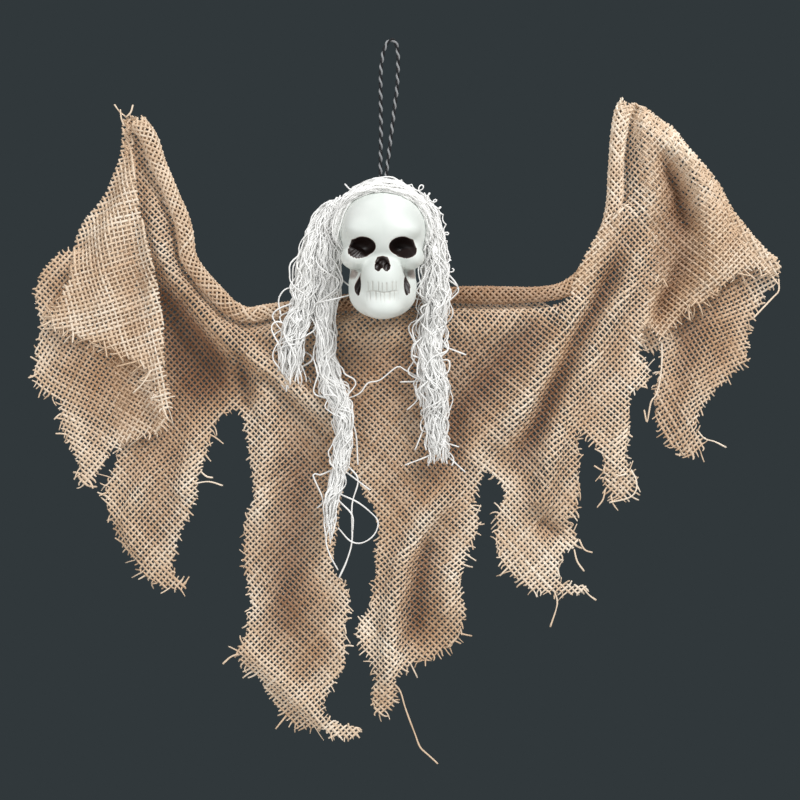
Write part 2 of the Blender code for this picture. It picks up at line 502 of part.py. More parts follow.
def rolled_hem(made_material):
    """The cloth rolled once round the wire, open along its underside."""
    start = math.radians(ROLL_START_DEG)
    turn = math.radians(360.0 - ROLL_OPENING_DEG)
    angles = [start + turn * i / ROLL_STEPS for i in range(ROLL_STEPS + 1)]
    inner = ROLL_RADIUS - CLOTH_THICKNESS
    section = [(ROLL_RADIUS * math.sin(a), ROLL_RADIUS * math.cos(a)) for a in angles]
    section += [(inner * math.sin(a), inner * math.cos(a)) for a in reversed(angles)]
    bm = bmesh.new()
    sweep(bm, hem_rings(ROLL_ROUTE, section))
    return add_object("rolled_hem", bm, made_material)


def round_section(radius, sides, up=0.0):
    turns = [2 * math.pi * i / sides for i in range(sides)]
    return [(up + radius * math.sin(a), radius * math.cos(a)) for a in turns]


def arm_wire(made_material):
    """The bent wire that the arms hang on, against the top of the hem's inside."""
    inner_flat = (ROLL_RADIUS - CLOTH_THICKNESS) * math.cos(math.radians(ROLL_FACET_DEG))
    up = inner_flat - FIT_GAP - WIRE_RADIUS
    pts = np.asarray(ROLL_ROUTE, float)
    first = pts[0] + (pts[1] - pts[0]) * WIRE_END_INSET / np.hypot(*(pts[1] - pts[0]))
    last = pts[-1] + (pts[-2] - pts[-1]) * WIRE_END_INSET / np.hypot(*(pts[-2] - pts[-1]))
    route = [tuple(first)] + ROLL_ROUTE[1:-1] + [tuple(last)]
    bm = bmesh.new()
    sweep(bm, hem_rings(route, round_section(WIRE_RADIUS, WIRE_SIDES, up)))
    return add_object("arm_wire", bm, made_material, smooth_deg=50.0)


def ellipsoid(p, centre, radii):
    q = p - np.asarray(centre)
    radii = np.asarray(radii)
    k0 = np.linalg.norm(q / radii, axis=1)
    k1 = np.linalg.norm(q / radii**2, axis=1) + 1e-9
    return k0 * (k0 - 1.0) / k1


def join(a, b, blend):
    h = np.maximum(blend - np.abs(a - b), 0.0) / blend
    return np.minimum(a, b) - h * h * blend / 4.0


def carve(a, b, blend):
    return -join(-a, b, blend)


def skull_distance(p):
    """Distance-like function of the skull about its own centre, negative inside."""
    side = p.copy()
    side[:, 0] = np.abs(side[:, 0])
    body = ellipsoid(p, (0.0, 0.0, 0.0), CRANIUM)
    for both_sides, centre, radii, blend in SKULL_MASSES.values():
        body = join(body, ellipsoid(side if both_sides else p, centre, radii), blend)
    for both_sides, centre, radii, blend in SKULL_HOLLOWS.values():
        body = carve(body, ellipsoid(side if both_sides else p, centre, radii), blend)
    return body


def skull_radius(directions, swell):
    """How far the skull's surface, or one that stands off it by swell, is from its centre each way."""
    far = np.full(len(directions), SKULL_REACH)
    found = np.zeros(len(directions), bool)
    while far.max() > SKULL_STEP and not found.all():
        value = skull_distance(directions * far[:, None]) - swell
        found |= value < 0.0
        far = np.where(found, far, far - SKULL_STEP)
    low, high = far, far + SKULL_STEP
    for _ in range(SKULL_HALVINGS):
        middle = (low + high) / 2
        inside = skull_distance(directions * middle[:, None]) - swell < 0.0
        low = np.where(inside, middle, low)
        high = np.where(inside, high, middle)
    return (low + high) / 2


def skull_shape(swell, subdivisions):
    """The skull's surface about the world origin, with more of its points towards the face."""
    bm = bmesh.new()
    bmesh.ops.create_icosphere(bm, subdivisions=subdivisions, radius=1.0)
    directions = np.array([v.co[:] for v in bm.verts]) + np.asarray(FACE_BIAS)
    directions /= np.linalg.norm(directions, axis=1)[:, None]
    places = directions * skull_radius(directions, swell)[:, None] + np.asarray(SKULL_CENTRE)
    for vertex, place in zip(bm.verts, places):
        vertex.co = place
    return bm


def skull(made_material):
    made = add_object("skull", skull_shape(0.0, FINE_SKULL), made_material, smooth_deg=40.0)
    fewer = made.modifiers.new("fewer_faces", "DECIMATE")
    fewer.ratio = SKULL_FACE_SHARE
    seat = bmesh.new()
    seat_radius = (ROLL_RADIUS + FIT_GAP) / math.cos(math.pi / ROUND_SIDES)
    sweep(seat, hem_rings(ROLL_ROUTE, round_section(seat_radius, ROUND_SIDES)))
    boolean(made, add_object("hem_seat", seat, made_material), "DIFFERENCE")
    hole = bmesh.new()
    ends = (CORD_ROUTE[0][2] - FIT_GAP, SKULL_CENTRE[2] + CRANIUM[2] + HOLE_RUNOUT)
    hole_radius = (CORD_ROUTE[-1][0] - CORD_ROUTE[0][0] + CORD_DIAMETER) / 2 + 2 * FIT_GAP
    middle = (CORD_ROUTE[-1][0] + CORD_ROUTE[0][0]) / 2
    outline = round_section(hole_radius, ROUND_SIDES)
    sweep(hole, [[(middle + x, CORD_ROUTE[0][1] + y, z) for x, y in outline] for z in ends])
    boolean(made, add_object("cord_hole", hole, made_material), "DIFFERENCE")
    return made


def hair_crown(made_material):
    """Yarns laid over the crown from side to side, parted round the cord."""
    across = [CROWN_ACROSS[0] + CROWN_ACROSS[1] * i for i in range(CROWN_ACROSS[2])]
    along = [CROWN_ALONG[0] + CROWN_ALONG[1] * j for j in range(CROWN_ALONG[2])]
    cord_back = (CORD_ROUTE[0][1] - SKULL_CENTRE[1]) / (CRANIUM[2] + HAIR_THICKNESS)
    cord_deg = math.degrees(math.asin(cord_back))
    centre = np.asarray(SKULL_CENTRE)
    radii = np.asarray(CRANIUM) + HAIR_THICKNESS
    bm = bmesh.new()
    grid = []
    for a_deg in across:
        row = []
        for j, b_deg in enumerate(along):
            a, b = math.radians(a_deg), math.radians(b_deg)
            direction = np.array([math.sin(a) * math.cos(b), math.sin(b), math.cos(a) * math.cos(b)])
            reach = 1.0 / np.linalg.norm(direction / radii)
            reach += HAIR_RIDGE if j % 2 else -HAIR_RIDGE / 2
            row.append(bm.verts.new(centre + direction * reach))
        grid.append(row)
    for i, a_deg in enumerate(across[:-1]):
        for j, b_deg in enumerate(along[:-1]):
            off_side = abs(a_deg + CROWN_ACROSS[1] / 2)
            off_back = abs(b_deg + CROWN_ALONG[1] / 2 - cord_deg)
            if max(off_side, off_back) < PARTING_DEG:
                continue
            bm.faces.new((grid[i][j], grid[i + 1][j], grid[i + 1][j + 1], grid[i][j + 1]))
    loose = [v for v in bm.verts if not v.link_faces]
    bmesh.ops.delete(bm, geom=loose, context="VERTS")
    grown = bmesh.ops.extrude_face_region(bm, geom=bm.faces[:])
    moved = [g for g in grown["geom"] if isinstance(g, bmesh.types.BMVert)]
    directions = np.array([(v.co - Vector(SKULL_CENTRE)).normalized()[:] for v in moved])
    inner = directions * skull_radius(directions, CROWN_GAP)[:, None] + centre
    for vertex, place in zip(moved, inner):
        vertex.co = place
    return add_object("hair_crown", bm, made_material, smooth_deg=60.0)


def lock_shape(stations):
    """A hanging lock: a twisted, lobed section drawn along its stations."""
    pts = np.asarray(stations, float)
    bm = bmesh.new()
    rings = []
    sides = 2 * LOCK_LOBES
    for row, (x, y, z, radius) in enumerate(pts):
        before = pts[max(row - 1, 0), :3]
        after = pts[min(row + 1, len(pts) - 1), :3]
        tangent = Vector(after - before).normalized()
        back = Vector((0.0, 1.0, 0.0))
        side = tangent.cross(back).normalized()
        back = side.cross(tangent).normalized()
        ring = []
        for i in range(sides):
            turn = 2 * math.pi * i / sides + math.radians(LOCK_TWIST_DEG * row)
            reach = radius * (1.0 if i % 2 else 1.0 - LOCK_LOBE_DEPTH)
            offset = side * (reach * math.cos(turn)) + back * (LOCK_FLATNESS * reach * math.sin(turn))
            ring.append(Vector((x, y, z)) + offset)
        rings.append(ring)
    sweep(bm, rings)
    return bm


def head_clearance(name, made_material):
    """The crown's outside and all within it, with the clearance that the locks keep from it."""
    bm = bmesh.new()
    bmesh.ops.create_icosphere(bm, subdivisions=COARSE_SKULL, radius=1.0)
    radii = [r + HAIR_THICKNESS + HAIR_RIDGE + 2 * FIT_GAP for r in CRANIUM]
    bmesh.ops.scale(bm, vec=radii, verts=bm.verts[:])
    bmesh.ops.translate(bm, vec=SKULL_CENTRE, verts=bm.verts[:])
    return add_object(name, bm, made_material)


def hair_locks(name, shapes, made_material):
    """The locks of one side of the head, as one solid."""
    made = add_object(name, lock_shape(shapes[0]), made_material, smooth_deg=60.0)
    for number, shape in enumerate(shapes[1:], 2):
        boolean(made, add_object(f"{name}_{number}", lock_shape(shape), made_material), "UNION")
    boolean(made, head_clearance(f"{name}_crown_clearance", made_material), "DIFFERENCE")
    face = add_object(f"{name}_face_clearance", skull_shape(2 * FIT_GAP, COARSE_SKULL), made_material)
    boolean(made, face, "DIFFERENCE")
    return made


def catmull(points, spacing):
    """Points of a smooth curve through the given ones, about one spacing apart."""
    pts = [Vector(p) for p in points]
    pts = [2 * pts[0] - pts[1]] + pts + [2 * pts[-1] - pts[-2]]
    found = []
    for a, b, c, d in zip(pts, pts[1:], pts[2:], pts[3:]):
        steps = max(1, round((c - b).length / spacing))
        for i in range(steps):
            t = i / steps
            bend = 2 * a - 5 * b + 4 * c - d
            swing = 3 * b - a - 3 * c + d
            found.append(0.5 * (2 * b + (c - a) * t + bend * t**2 + swing * t**3))
    return found + [pts[-2]]


def hanging_cord(made_material):
    """The twisted twine loop that the ornament hangs by."""
    curve = bpy.data.curves.new("hanging_cord", "CURVE")
    curve.dimensions = "3D"
    curve.bevel_depth = CORD_DIAMETER / 2 * MM
    curve.bevel_resolution = 2
    curve.use_fill_caps = True
    route = catmull(CORD_ROUTE, CORD_SPACING)
    spline = curve.splines.new("POLY")
    spline.points.add(len(route) - 1)
    for point, place in zip(spline.points, route):
        point.co = (*(place * MM), 1.0)
    curve.materials.append(made_material)
    made = bpy.data.objects.new("hanging_cord", curve)
    bpy.context.scene.collection.objects.link(made)
    return made


def cloth(made_material):
    """The whole torn hessian sheet, hem and turned layers included."""
    outline = LEFT_HAND + ROLL_ROUTE[1:SHOULDER_END_INDEX] + RIGHT_SHOULDER
    outline += ROLL_ROUTE[HAND_START_INDEX:-1] + RIGHT_HAND + HOOD_HEM
    outline += RIGHT_SLEEVE_TAIL + RIGHT_TAIL + MIDDLE_TAIL + LONG_TAIL + LEFT_TAIL
    made = cloth_layer("cloth", outline, main_depth, MAIN_THREADS_DEG, GAP_COUNT, made_material)
    boolean(made, rolled_hem(made_material), "UNION")
    layers = [
        ("middle_layer", MIDDLE_LAYER, middle_depth, MIDDLE_THREADS_DEG),
        ("front_flap", FRONT_FLAP, flap_depth, FLAP_THREADS_DEG),
        ("back_layer", BACK_LAYER, back_depth, BACK_THREADS_DEG),
    ]
    for name, layer_outline, depth_of, threads_deg in layers:
        layer = cloth_layer(name, layer_outline, depth_of, threads_deg, 0, made_material)
        boolean(made, layer, "UNION")
    return made


def build():
    for old in list(bpy.data.objects):
        bpy.data.objects.remove(old, do_unlink=True)
    hessian = material("hessian", "#BE9F7B", 0.95)
    steel = material("annealed_wire", "#6F6A64", 0.45, 1.0)
    plastic = material("moulded_plastic", "#DDE2DC", 0.35)
    cotton = material("cotton_yarn", "#EFEFEC", 0.9)
    twine = material("grey_twine", "#3A3B3D", 0.9)
    cloth(hessian)
    arm_wire(steel)
    skull(plastic)
    hair_crown(cotton)
    hair_locks("hair_left", [LEFT_INNER_LOCK, LEFT_OUTER_LOCK], cotton)
    hair_locks("hair_right", [RIGHT_LOCK], cotton)
    hanging_cord(twine)


build()
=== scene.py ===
"""The looks of a hanging ghost ornament: torn hessian, a moulded skull, yarn hair and a twine loop.

Sizes and places are millimetres in the part's own frame, with the origin at the hanging point, and are
turned into metres where a mesh is made. +Z is up, the face looks along -Y, and X runs to the right.
"""

import math

import bmesh
import bpy
import numpy as np
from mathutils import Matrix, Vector


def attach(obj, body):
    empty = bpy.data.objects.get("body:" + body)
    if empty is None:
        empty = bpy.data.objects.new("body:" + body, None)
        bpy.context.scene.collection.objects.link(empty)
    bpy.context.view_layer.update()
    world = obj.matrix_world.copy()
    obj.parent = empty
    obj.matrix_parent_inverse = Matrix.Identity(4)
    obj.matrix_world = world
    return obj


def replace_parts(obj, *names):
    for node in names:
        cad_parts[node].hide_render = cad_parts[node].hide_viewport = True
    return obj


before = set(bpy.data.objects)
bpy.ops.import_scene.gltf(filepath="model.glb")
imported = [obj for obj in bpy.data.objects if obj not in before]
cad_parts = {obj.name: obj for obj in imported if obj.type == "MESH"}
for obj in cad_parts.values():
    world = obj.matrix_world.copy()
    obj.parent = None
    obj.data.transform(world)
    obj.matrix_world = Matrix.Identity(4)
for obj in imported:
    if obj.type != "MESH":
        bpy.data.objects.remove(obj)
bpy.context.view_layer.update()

# The camera
# It looks square at the ornament's front, level with the middle of the cloth, from a little over a metre.
MM = 0.001
VIEW_CENTRE = (4.0, -179.0)
VIEW_DISTANCE = 1100.0
VIEW_WIDTH = 400.0
SENSOR_WIDTH = 36.0

camera_data = bpy.data.cameras.new("camera")
camera_data.sensor_width = SENSOR_WIDTH
camera_data.lens = SENSOR_WIDTH * VIEW_DISTANCE / VIEW_WIDTH
camera = bpy.data.objects.new("camera", camera_data)
camera.location = (VIEW_CENTRE[0] * MM, -VIEW_DISTANCE * MM, VIEW_CENTRE[1] * MM)
camera.rotation_euler = (math.pi / 2, 0.0, 0.0)
bpy.context.scene.collection.objects.link(camera)
bpy.context.scene.camera = camera
bpy.context.scene.view_settings.view_transform = "Standard"

# The twine
# A doubled length of two-ply twine, one ply black and one grey, twisted round each other. Both ends go into
# the crown of the skull, and the loop at the top is what the ornament hangs by.
TWINE_ROUTE = [
    (-5.8, 0, -77.2), (-5.8, 0, -70), (-5.7, 0, -58), (-5.5, 0, -46), (-5.6, 0, -34), (-5.7, 0, -22),
    (-5.4, 0, -12), (-4, 0, -4), (-2.2, 0, -0.2), (0, 0, 1), (1.9, 0, -0.6), (2.9, 0, -5), (3, 0, -12),
    (2.5, 0, -23), (1.3, 0, -32), (0.4, 0, -40), (-0.6, 0, -48), (-1.6, 0, -56), (-2.6, 0, -64),
    (-3.2, 0, -71), (-3.4, 0, -77.2),
]
PLY_RADIUS = 0.52
PLY_OFFSET = 0.5
PLY_TURN = 6.2  # length of one full turn of the plies
PLY_STEP = 0.5
TWINE_FIBRE = 1 / 1.8  # the fibres show as light and dark places, 1.8 to the millimetre
COTTON_RELIEF = 0.2
COTTON_ROUGHNESS = 0.9
BLACK_PLY = "#1C1D20"
GREY_PLY = "#8F9193"


def smooth_line(points, spacing):
    """Points of a smooth line through the given ones, about one spacing apart."""
    pts = np.asarray(points, float)
    pts = np.vstack([2 * pts[0] - pts[1], pts, 2 * pts[-1] - pts[-2]])
    found = []
    for a, b, c, d in zip(pts, pts[1:], pts[2:], pts[3:]):
        steps = max(1, round(float(np.linalg.norm((c - b)[:3])) / spacing))
        t = np.arange(steps)[:, None] / steps
        bend = 2 * a - 5 * b + 4 * c - d
        swing = 3 * b - a - 3 * c + d
        found.append(0.5 * (2 * b + (c - a) * t + bend * t**2 + swing * t**3))
    return np.vstack(found + [pts[-2:-1]])


def unit(vectors):
    """The same directions with a length of one."""
    return vectors / np.maximum(np.linalg.norm(vectors, axis=-1, keepdims=True), 1e-9)


def add_piece(name, mesh, made_material):
    """An object of the part, with its material, attached to the root."""
    mesh.materials.append(made_material)
    made = bpy.data.objects.new(name, mesh)
    bpy.context.scene.collection.objects.link(made)
    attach(made, "root")
    return made


def set_values(mesh, name, values):
    """Gives each point of a mesh a value of this name, which its material can read."""
    mesh.attributes.new(name, "FLOAT", "POINT").data.foreach_set("value", values.astype(np.float32))


def strands_mesh(name, strands, roundness=0, flatness=1.0):
    """One mesh of strands. Each is its points, its radius at each, and a tone from 0 to 1.

    A flatness under 1 presses every strand flat in depth, which leaves its middle line where it is.
    """
    curve = bpy.data.curves.new(name, "CURVE")
    curve.dimensions = "3D"
    curve.twist_mode = "Z_UP" if flatness < 1.0 else "MINIMUM"
    curve.bevel_depth = MM
    curve.bevel_resolution = roundness
    for points, radii, _ in strands:
        spline = curve.splines.new("POLY")
        spline.points.add(len(points) - 1)
        places = points * MM * (1.0, 1.0 / flatness, 1.0)
        spline.points.foreach_set("co", np.column_stack([places, np.ones(len(points))]).ravel())
        spline.points.foreach_set("radius", np.broadcast_to(radii, len(points)).astype(float))
    line = bpy.data.objects.new(name + "_line", curve)
    mesh = bpy.data.meshes.new_from_object(line)
    bpy.data.objects.remove(line)
    mesh.name = name
    sides = 4 + 2 * roundness
    tones = np.repeat([tone for _, _, tone in strands], [len(points) * sides for points, _, _ in strands])
    set_values(mesh, "tone", tones)
    bm = bmesh.new()
    bm.from_mesh(mesh)
    bmesh.ops.holes_fill(bm, edges=[edge for edge in bm.edges if edge.is_boundary], sides=sides)
    bmesh.ops.recalc_face_normals(bm, faces=bm.faces)
    bmesh.ops.scale(bm, vec=(1.0, flatness, 1.0), verts=bm.verts)
    bm.to_mesh(mesh)
    bm.free()
    mesh.shade_smooth()
    return mesh


def linear(hex_colour):
    """An sRGB hex colour as the linear colour that a shader takes."""
    channels = [int(hex_colour[i : i + 2], 16) / 255 for i in (1, 3, 5)]
    return (*[c / 12.92 if c <= 0.04045 else ((c + 0.055) / 1.055) ** 2.4 for c in channels], 1.0)


def add_node(tree, kind, inputs=None, **settings):
    """Adds a node with its settings. Each input is a value, or the socket that is linked to it."""
    made = tree.nodes.new(kind)
    for name, value in settings.items():
        setattr(made, name, value)
    for name, value in (inputs or {}).items():
        if isinstance(value, bpy.types.NodeSocket):
            tree.links.new(value, made.inputs[name])
        else:
            made.inputs[name].default_value = value
    return made


def mesh_value(tree, name):
    """The value of this name that the mesh carries."""
    return add_node(tree, "ShaderNodeAttribute", attribute_name=name).outputs["Fac"]


def noise(tree, place, size, detail=2.0):
    """A soft random pattern, whose patches are about so many millimetres across."""
    inputs = {"Vector": place, "Scale": 1 / (size * MM), "Detail": detail}
    return add_node(tree, "ShaderNodeTexNoise", inputs).outputs["Fac"]


def ramp_colour(tree, value, stops):
    """The colour that a ramp gives for a value. Each stop is a place from 0 to 1 and a hex colour."""
    ramp = add_node(tree, "ShaderNodeValToRGB", {"Fac": value})
    elements = ramp.color_ramp.elements
    for place, _ in stops[2:]:
        elements.new(place)
    for element, (place, colour) in zip(elements, sorted(stops)):
        element.position = place
        element.color = linear(colour)
    return ramp.outputs["Color"]


def add_relief(tree, shader, height, depth):
    """Fine relief in the surface, so many millimetres deep."""
    bump = add_node(tree, "ShaderNodeBump", {"Height": height, "Distance": depth * MM})
    tree.links.new(bump.outputs["Normal"], shader.inputs["Normal"])


def new_material(name, roughness, metallic=0.0):
    """A material with its node tree, its shader and the piece's own coordinates."""
    made = bpy.data.materials.new(name)
    made.use_nodes = True
    tree = made.node_tree
    shader = tree.nodes["Principled BSDF"]
    shader.inputs["Roughness"].default_value = roughness
    shader.inputs["IOR"].default_value = 1.5
    shader.inputs["Metallic"].default_value = metallic
    return made, tree, shader, add_node(tree, "ShaderNodeTexCoord").outputs["Object"]


def spun_cotton(name, first, second, fibre):
    """Spun cotton: dull and fibrous. Each strand's tone takes it from the first colour to the second."""
    made, tree, shader, place = new_material(name, COTTON_ROUGHNESS)
    colour = ramp_colour(tree, mesh_value(tree, "tone"), [(0.0, first), (1.0, second)])
    tree.links.new(colour, shader.inputs["Base Color"])
    add_relief(tree, shader, noise(tree, place, fibre), COTTON_RELIEF)
    return made


def twine_plies(route):
    """Both plies of the twine, each winding round the route half a turn behind the other."""
    along = np.concatenate([[0.0], np.cumsum(np.linalg.norm(np.diff(route, axis=0), axis=1))])
    tangents = unit(np.gradient(route, axis=0))
    back = np.array([0.0, 1.0, 0.0])
    side = unit(np.cross(tangents, back))
    plies = []
    for tone in (0.0, 1.0):
        turn = 2 * math.pi * (along / PLY_TURN + tone / 2)
        around = side * np.cos(turn)[:, None] + back * np.sin(turn)[:, None]
        plies.append((route + PLY_OFFSET * around, PLY_RADIUS, tone))
    return plies


twine_route = smooth_line(TWINE_ROUTE, PLY_STEP)
twine_mesh = strands_mesh("twine_loop", twine_plies(twine_route), 1)
# Dyed cotton twine, spun and plied, one ply black and the other grey.
twine_cotton = spun_cotton("plied_cotton_twine", BLACK_PLY, GREY_PLY, TWINE_FIBRE)
twine = add_piece("twine_loop", twine_mesh, twine_cotton)
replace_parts(twine, "hanging_cord")

# The arm wire
# A soft steel wire, bent by hand and hidden in the rolled hem, which holds the arms up. Annealing leaves it
# a dull dark grey. It only shows as a dark line at the ends of the roll.
WIRE_GRAIN = 10 / 3
WIRE_ROUGHNESS = 0.5

# Soft annealed steel, its dull grey a little darker in some places than in others.
wire_steel, tree, shader, place = new_material("annealed_steel_wire", WIRE_ROUGHNESS, metallic=1.0)
steel = ramp_colour(tree, noise(tree, place, WIRE_GRAIN), [(0.3, "#4C4845"), (0.7, "#7A7570")])
tree.links.new(steel, shader.inputs["Base Color"])
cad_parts["arm_wire"].data.materials.clear()
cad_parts["arm_wire"].data.materials.append(wire_steel)

# The cloth
# One torn sheet of loose plain-weave hessian, unbleached, with about 12 threads to the inch. Its top edge is
# rolled round the wire, both hands are folded over, and it is torn below into tails with frayed edges.
# Every thread is there, over one crossing thread and under the next.
PITCH = 2.15
THREAD_FLATNESS = 0.48
CROSSING_LIFT = 0.3  # how far a thread stands off the middle of the cloth where it passes over another
CLOTH_DEPTH = 6.0
FOLD_FADE = (-0.12, 0.15)
SHEET_MARGIN = 12.0
MAP_STEP = 1.5
LAST_CELL = 1.001  # keeps a place at the far edge of a map within its last cell
SETTLE_ROUNDS = 90
SETTLE_HOLD = 0.02
SETTLE_PULL = 0.25
WEAVE_WAVES = (38.0, 61.0, 90.0)  # lengths of the slow waves by which the weave runs out of true
WAVE_FLATNESS = 60  # how many times as long as high each of these waves is
SIZE_SPREAD = 0.11  # how much thicker or thinner one thread is than another
SIZE_LIMITS = (0.75, 1.25)
UNEVENNESS = 0.12  # how much a thread's thickness changes along it
UNEVEN_EVERY = 4
UNEVEN_LIMITS = (0.7, 1.3)
HESSIAN_FIBRE = 1 / 1.4
HESSIAN_PATCH = 1000 / 28
HESSIAN_RELIEF = 0.25
HESSIAN_ROUGHNESS = 0.95
TONE_SHARE = 0.5  # how much a thread's own tone counts, and how much its fibres do

ROLL_RADIUS = 4.2
ROLL_DEPTH = 8.0
ROLL_START_DEG = -18.0
ROLL_OPENING_DEG = 60.0
HEM_NEAR = 1.1
HEM_FAR = 2.4
SHOULDER_FAR = 2.6
CLOTH_THICKNESS = 1.3
SHOULDER_CORNER = (84.0, -83.0)
PASS_CORNER = (86.0, -81.0)
LEFT_SINK = 3.5
LEFT_SINK_ENDS = (-95.0, -125.0)

# The line of the rolled hem, from the left hand over the shoulders to the right hand.
ROLL_ROUTE = [
    (-127.5, -39.5), (-122.5, -47), (-120, -54), (-117.5, -61), (-114, -68.5), (-110, -78), (-106, -88),
    (-104, -97), (-103, -105.5), (-99.5, -112.5), (-94, -119.5), (-88.5, -125.5), (-81.5, -132.5),
    (-72, -136.25), (-63, -134.5), (-53.5, -133.5), (-36, -131.5), (-21, -129.75), (-3.5, -128),
    (14, -127), (34, -126), (54, -126.25), (74, -125.75), (86.5, -123.5), (95.5, -117.5), (101, -110),
    (106.5, -99), (110.5, -88), (112.25, -76.5), (112.75, -61.5), (114, -46.5), (116, -35), (118, -31),
]
SHOULDER_END_INDEX = 23
HAND_START_INDEX = 29

# The torn outline of the sheet, hands and tails in turn, without the stretches along the hem.
LEFT_HAND = [(-134.5, -43.0), (-135.0, -37.0), (-130.5, -35.5), (-127.5, -37.0)]
RIGHT_SHOULDER = [
    (78.5, -132), (84.5, -130.5), (90, -126.5), (90, -122), (93.2, -113.5), (98.3, -103.5), (103, -95.5),
    (106.5, -88.5), (110.5, -85.5), (117, -82), (115.5, -72),
]
RIGHT_HAND = [
    (120.5, -27.5), (124, -30), (129, -33.5), (134, -38), (140, -41.5), (144, -46.5), (148, -52),
    (153, -57.5), (159, -64), (165, -71.5), (167.5, -77), (171.5, -84), (176.5, -90), (181.5, -96),
    (185.5, -100.5), (190, -105), (194.5, -108), (195.75, -113), (194, -118.5),
]
HOOD_HEM = [
    (190, -116), (186, -113), (179, -113), (173, -114.5), (168, -119.5), (163, -123), (158, -128),
    (153, -131), (147, -132), (144, -138), (140, -143), (136, -150), (132, -145), (128, -139),
]
RIGHT_SLEEVE_TAIL = [
    (125.5, -144), (124.5, -151.5), (124, -157.5), (128.5, -162), (129, -169), (124, -173), (119, -175.5),
    (118.5, -184), (119, -194), (118, -201.5), (117, -210), (121, -215), (122.5, -221), (119, -227),
    (110.5, -228), (107.5, -223), (107, -214), (107, -208), (103, -202), (98, -197.5), (93.5, -194),
    (91, -188.5),
]
RIGHT_TAIL = [
    (92.5, -199), (93.5, -209), (93, -219), (94.5, -223.5), (92.5, -229), (93, -235), (87, -238.5),
    (90.5, -243), (93, -248), (93, -253), (89, -253.5), (85.5, -256.5), (84, -261.5), (83, -266.5),
    (84.5, -271), (90, -272), (99.5, -273), (98.5, -275.5), (90, -277), (82, -274.5), (76.5, -275),
    (70.5, -274.5), (65, -270.5), (60, -265.5), (55.5, -260.5), (53.5, -254), (52.5, -249), (53.5, -243),
    (52.5, -236.5), (56.5, -230), (57, -225), (54, -220), (49.5, -218), (46.5, -213.5),
]
MIDDLE_TAIL = [
    (44, -220), (42, -224.5), (40, -229), (41, -234.5), (43.5, -239.5), (42.5, -245), (39, -251.5),
    (36.5, -258), (34.5, -264.5), (33.5, -271.5), (35, -279), (37, -285), (34.5, -292), (33, -299),
    (27, -304), (20, -308), (12, -310), (6.5, -313.5), (2, -318), (1, -322), (2, -327), (0.5, -333),
    (-4, -337.5), (-8, -336.5), (-9.5, -331), (-9, -324), (-8, -318), (-9.5, -312.5), (-12, -307),
    (-15.5, -301.5), (-17, -295), (-15.5, -289), (-12, -284.5), (-9, -279), (-8.5, -271.5), (-7.5, -264),
    (-8.5, -257), (-7, -249), (-6.5, -240.5), (-9, -233), (-13, -227.5), (-15.5, -222), (-17.5, -217),
    (-21, -213),
]
LONG_TAIL = [
    (-24.5, -219), (-26, -229), (-27.5, -239), (-28.5, -249), (-30.5, -256.5), (-31, -263), (-28, -267.5),
    (-24, -271.5), (-22, -278), (-22, -285), (-24, -291.5), (-24.5, -299), (-24, -306.5), (-24.5, -313),
    (-28.5, -319), (-32, -326.5), (-35.5, -331), (-35.5, -335.5), (-31, -340), (-26, -342.5), (-16, -344),
    (-16.5, -348), (-23.5, -349), (-30, -346.5), (-35, -343.5), (-43.5, -343.5), (-50, -342),
    (-55, -336.5), (-59.5, -330), (-64, -323), (-67, -317.5), (-73, -313.5), (-76.5, -308), (-76.5, -303),
    (-73, -297), (-72.5, -290), (-70, -284), (-71.5, -278), (-72, -271.5), (-73, -265), (-74, -258),
    (-73.5, -250.5), (-74, -244), (-72, -237), (-69, -230.5), (-69, -223), (-70, -215), (-71.5, -207),
    (-72, -199), (-73.5, -193), (-75.5, -186.5), (-78, -184),
]
LEFT_TAIL = [
    (-82, -185), (-87, -187), (-90, -192), (-92, -199), (-94, -206.5), (-97, -214), (-98.5, -221.5),
    (-97.5, -226.5), (-101, -233), (-104, -239), (-106.5, -246.5), (-108.5, -253), (-110.5, -259),
    (-111.5, -265), (-109.5, -269), (-103.5, -269.5), (-104, -272.5), (-112, -274), (-118.5, -271.5),
    (-124, -267.5), (-127.5, -262.5), (-131.5, -257), (-135.5, -251.5), (-139, -245), (-140.5, -239),
    (-143.5, -233), (-144.5, -226.5), (-143, -220), (-140, -214), (-138, -209), (-137, -202), (-139, -190),
    (-140, -170), (-141, -145), (-142, -120), (-142.5, -100), (-143, -88), (-143, -79), (-141, -72.5),
    (-138, -65), (-135.5, -58), (-134.5, -50.5),
]
MIDDLE_LAYER = [
    (-134, -60), (-136, -66), (-139, -73), (-142.5, -80), (-146.5, -85.5), (-149.5, -90), (-151.5, -96),
    (-153.5, -102), (-160, -103.5), (-165, -104.5), (-170, -108), (-174.5, -113), (-178.5, -121.5),
    (-179, -128), (-177.5, -134), (-176, -141.5), (-177, -148.5), (-179.5, -153.5), (-177.5, -158),
    (-179, -164.5), (-178, -170.5), (-175, -176), (-171, -177.5), (-165.5, -178.5), (-166, -185),
    (-165, -191.5), (-163, -197.5), (-160, -203), (-157.5, -210), (-155.5, -216), (-158, -219.5),
    (-156, -222.5), (-152, -221.5), (-148.5, -216.5), (-145, -211), (-142, -205), (-137, -200),
    (-131, -198), (-123.5, -195.5), (-116, -195), (-112.5, -189), (-117, -181.5), (-121, -169),
    (-125, -149), (-128.5, -129), (-132, -104), (-134, -80),
]
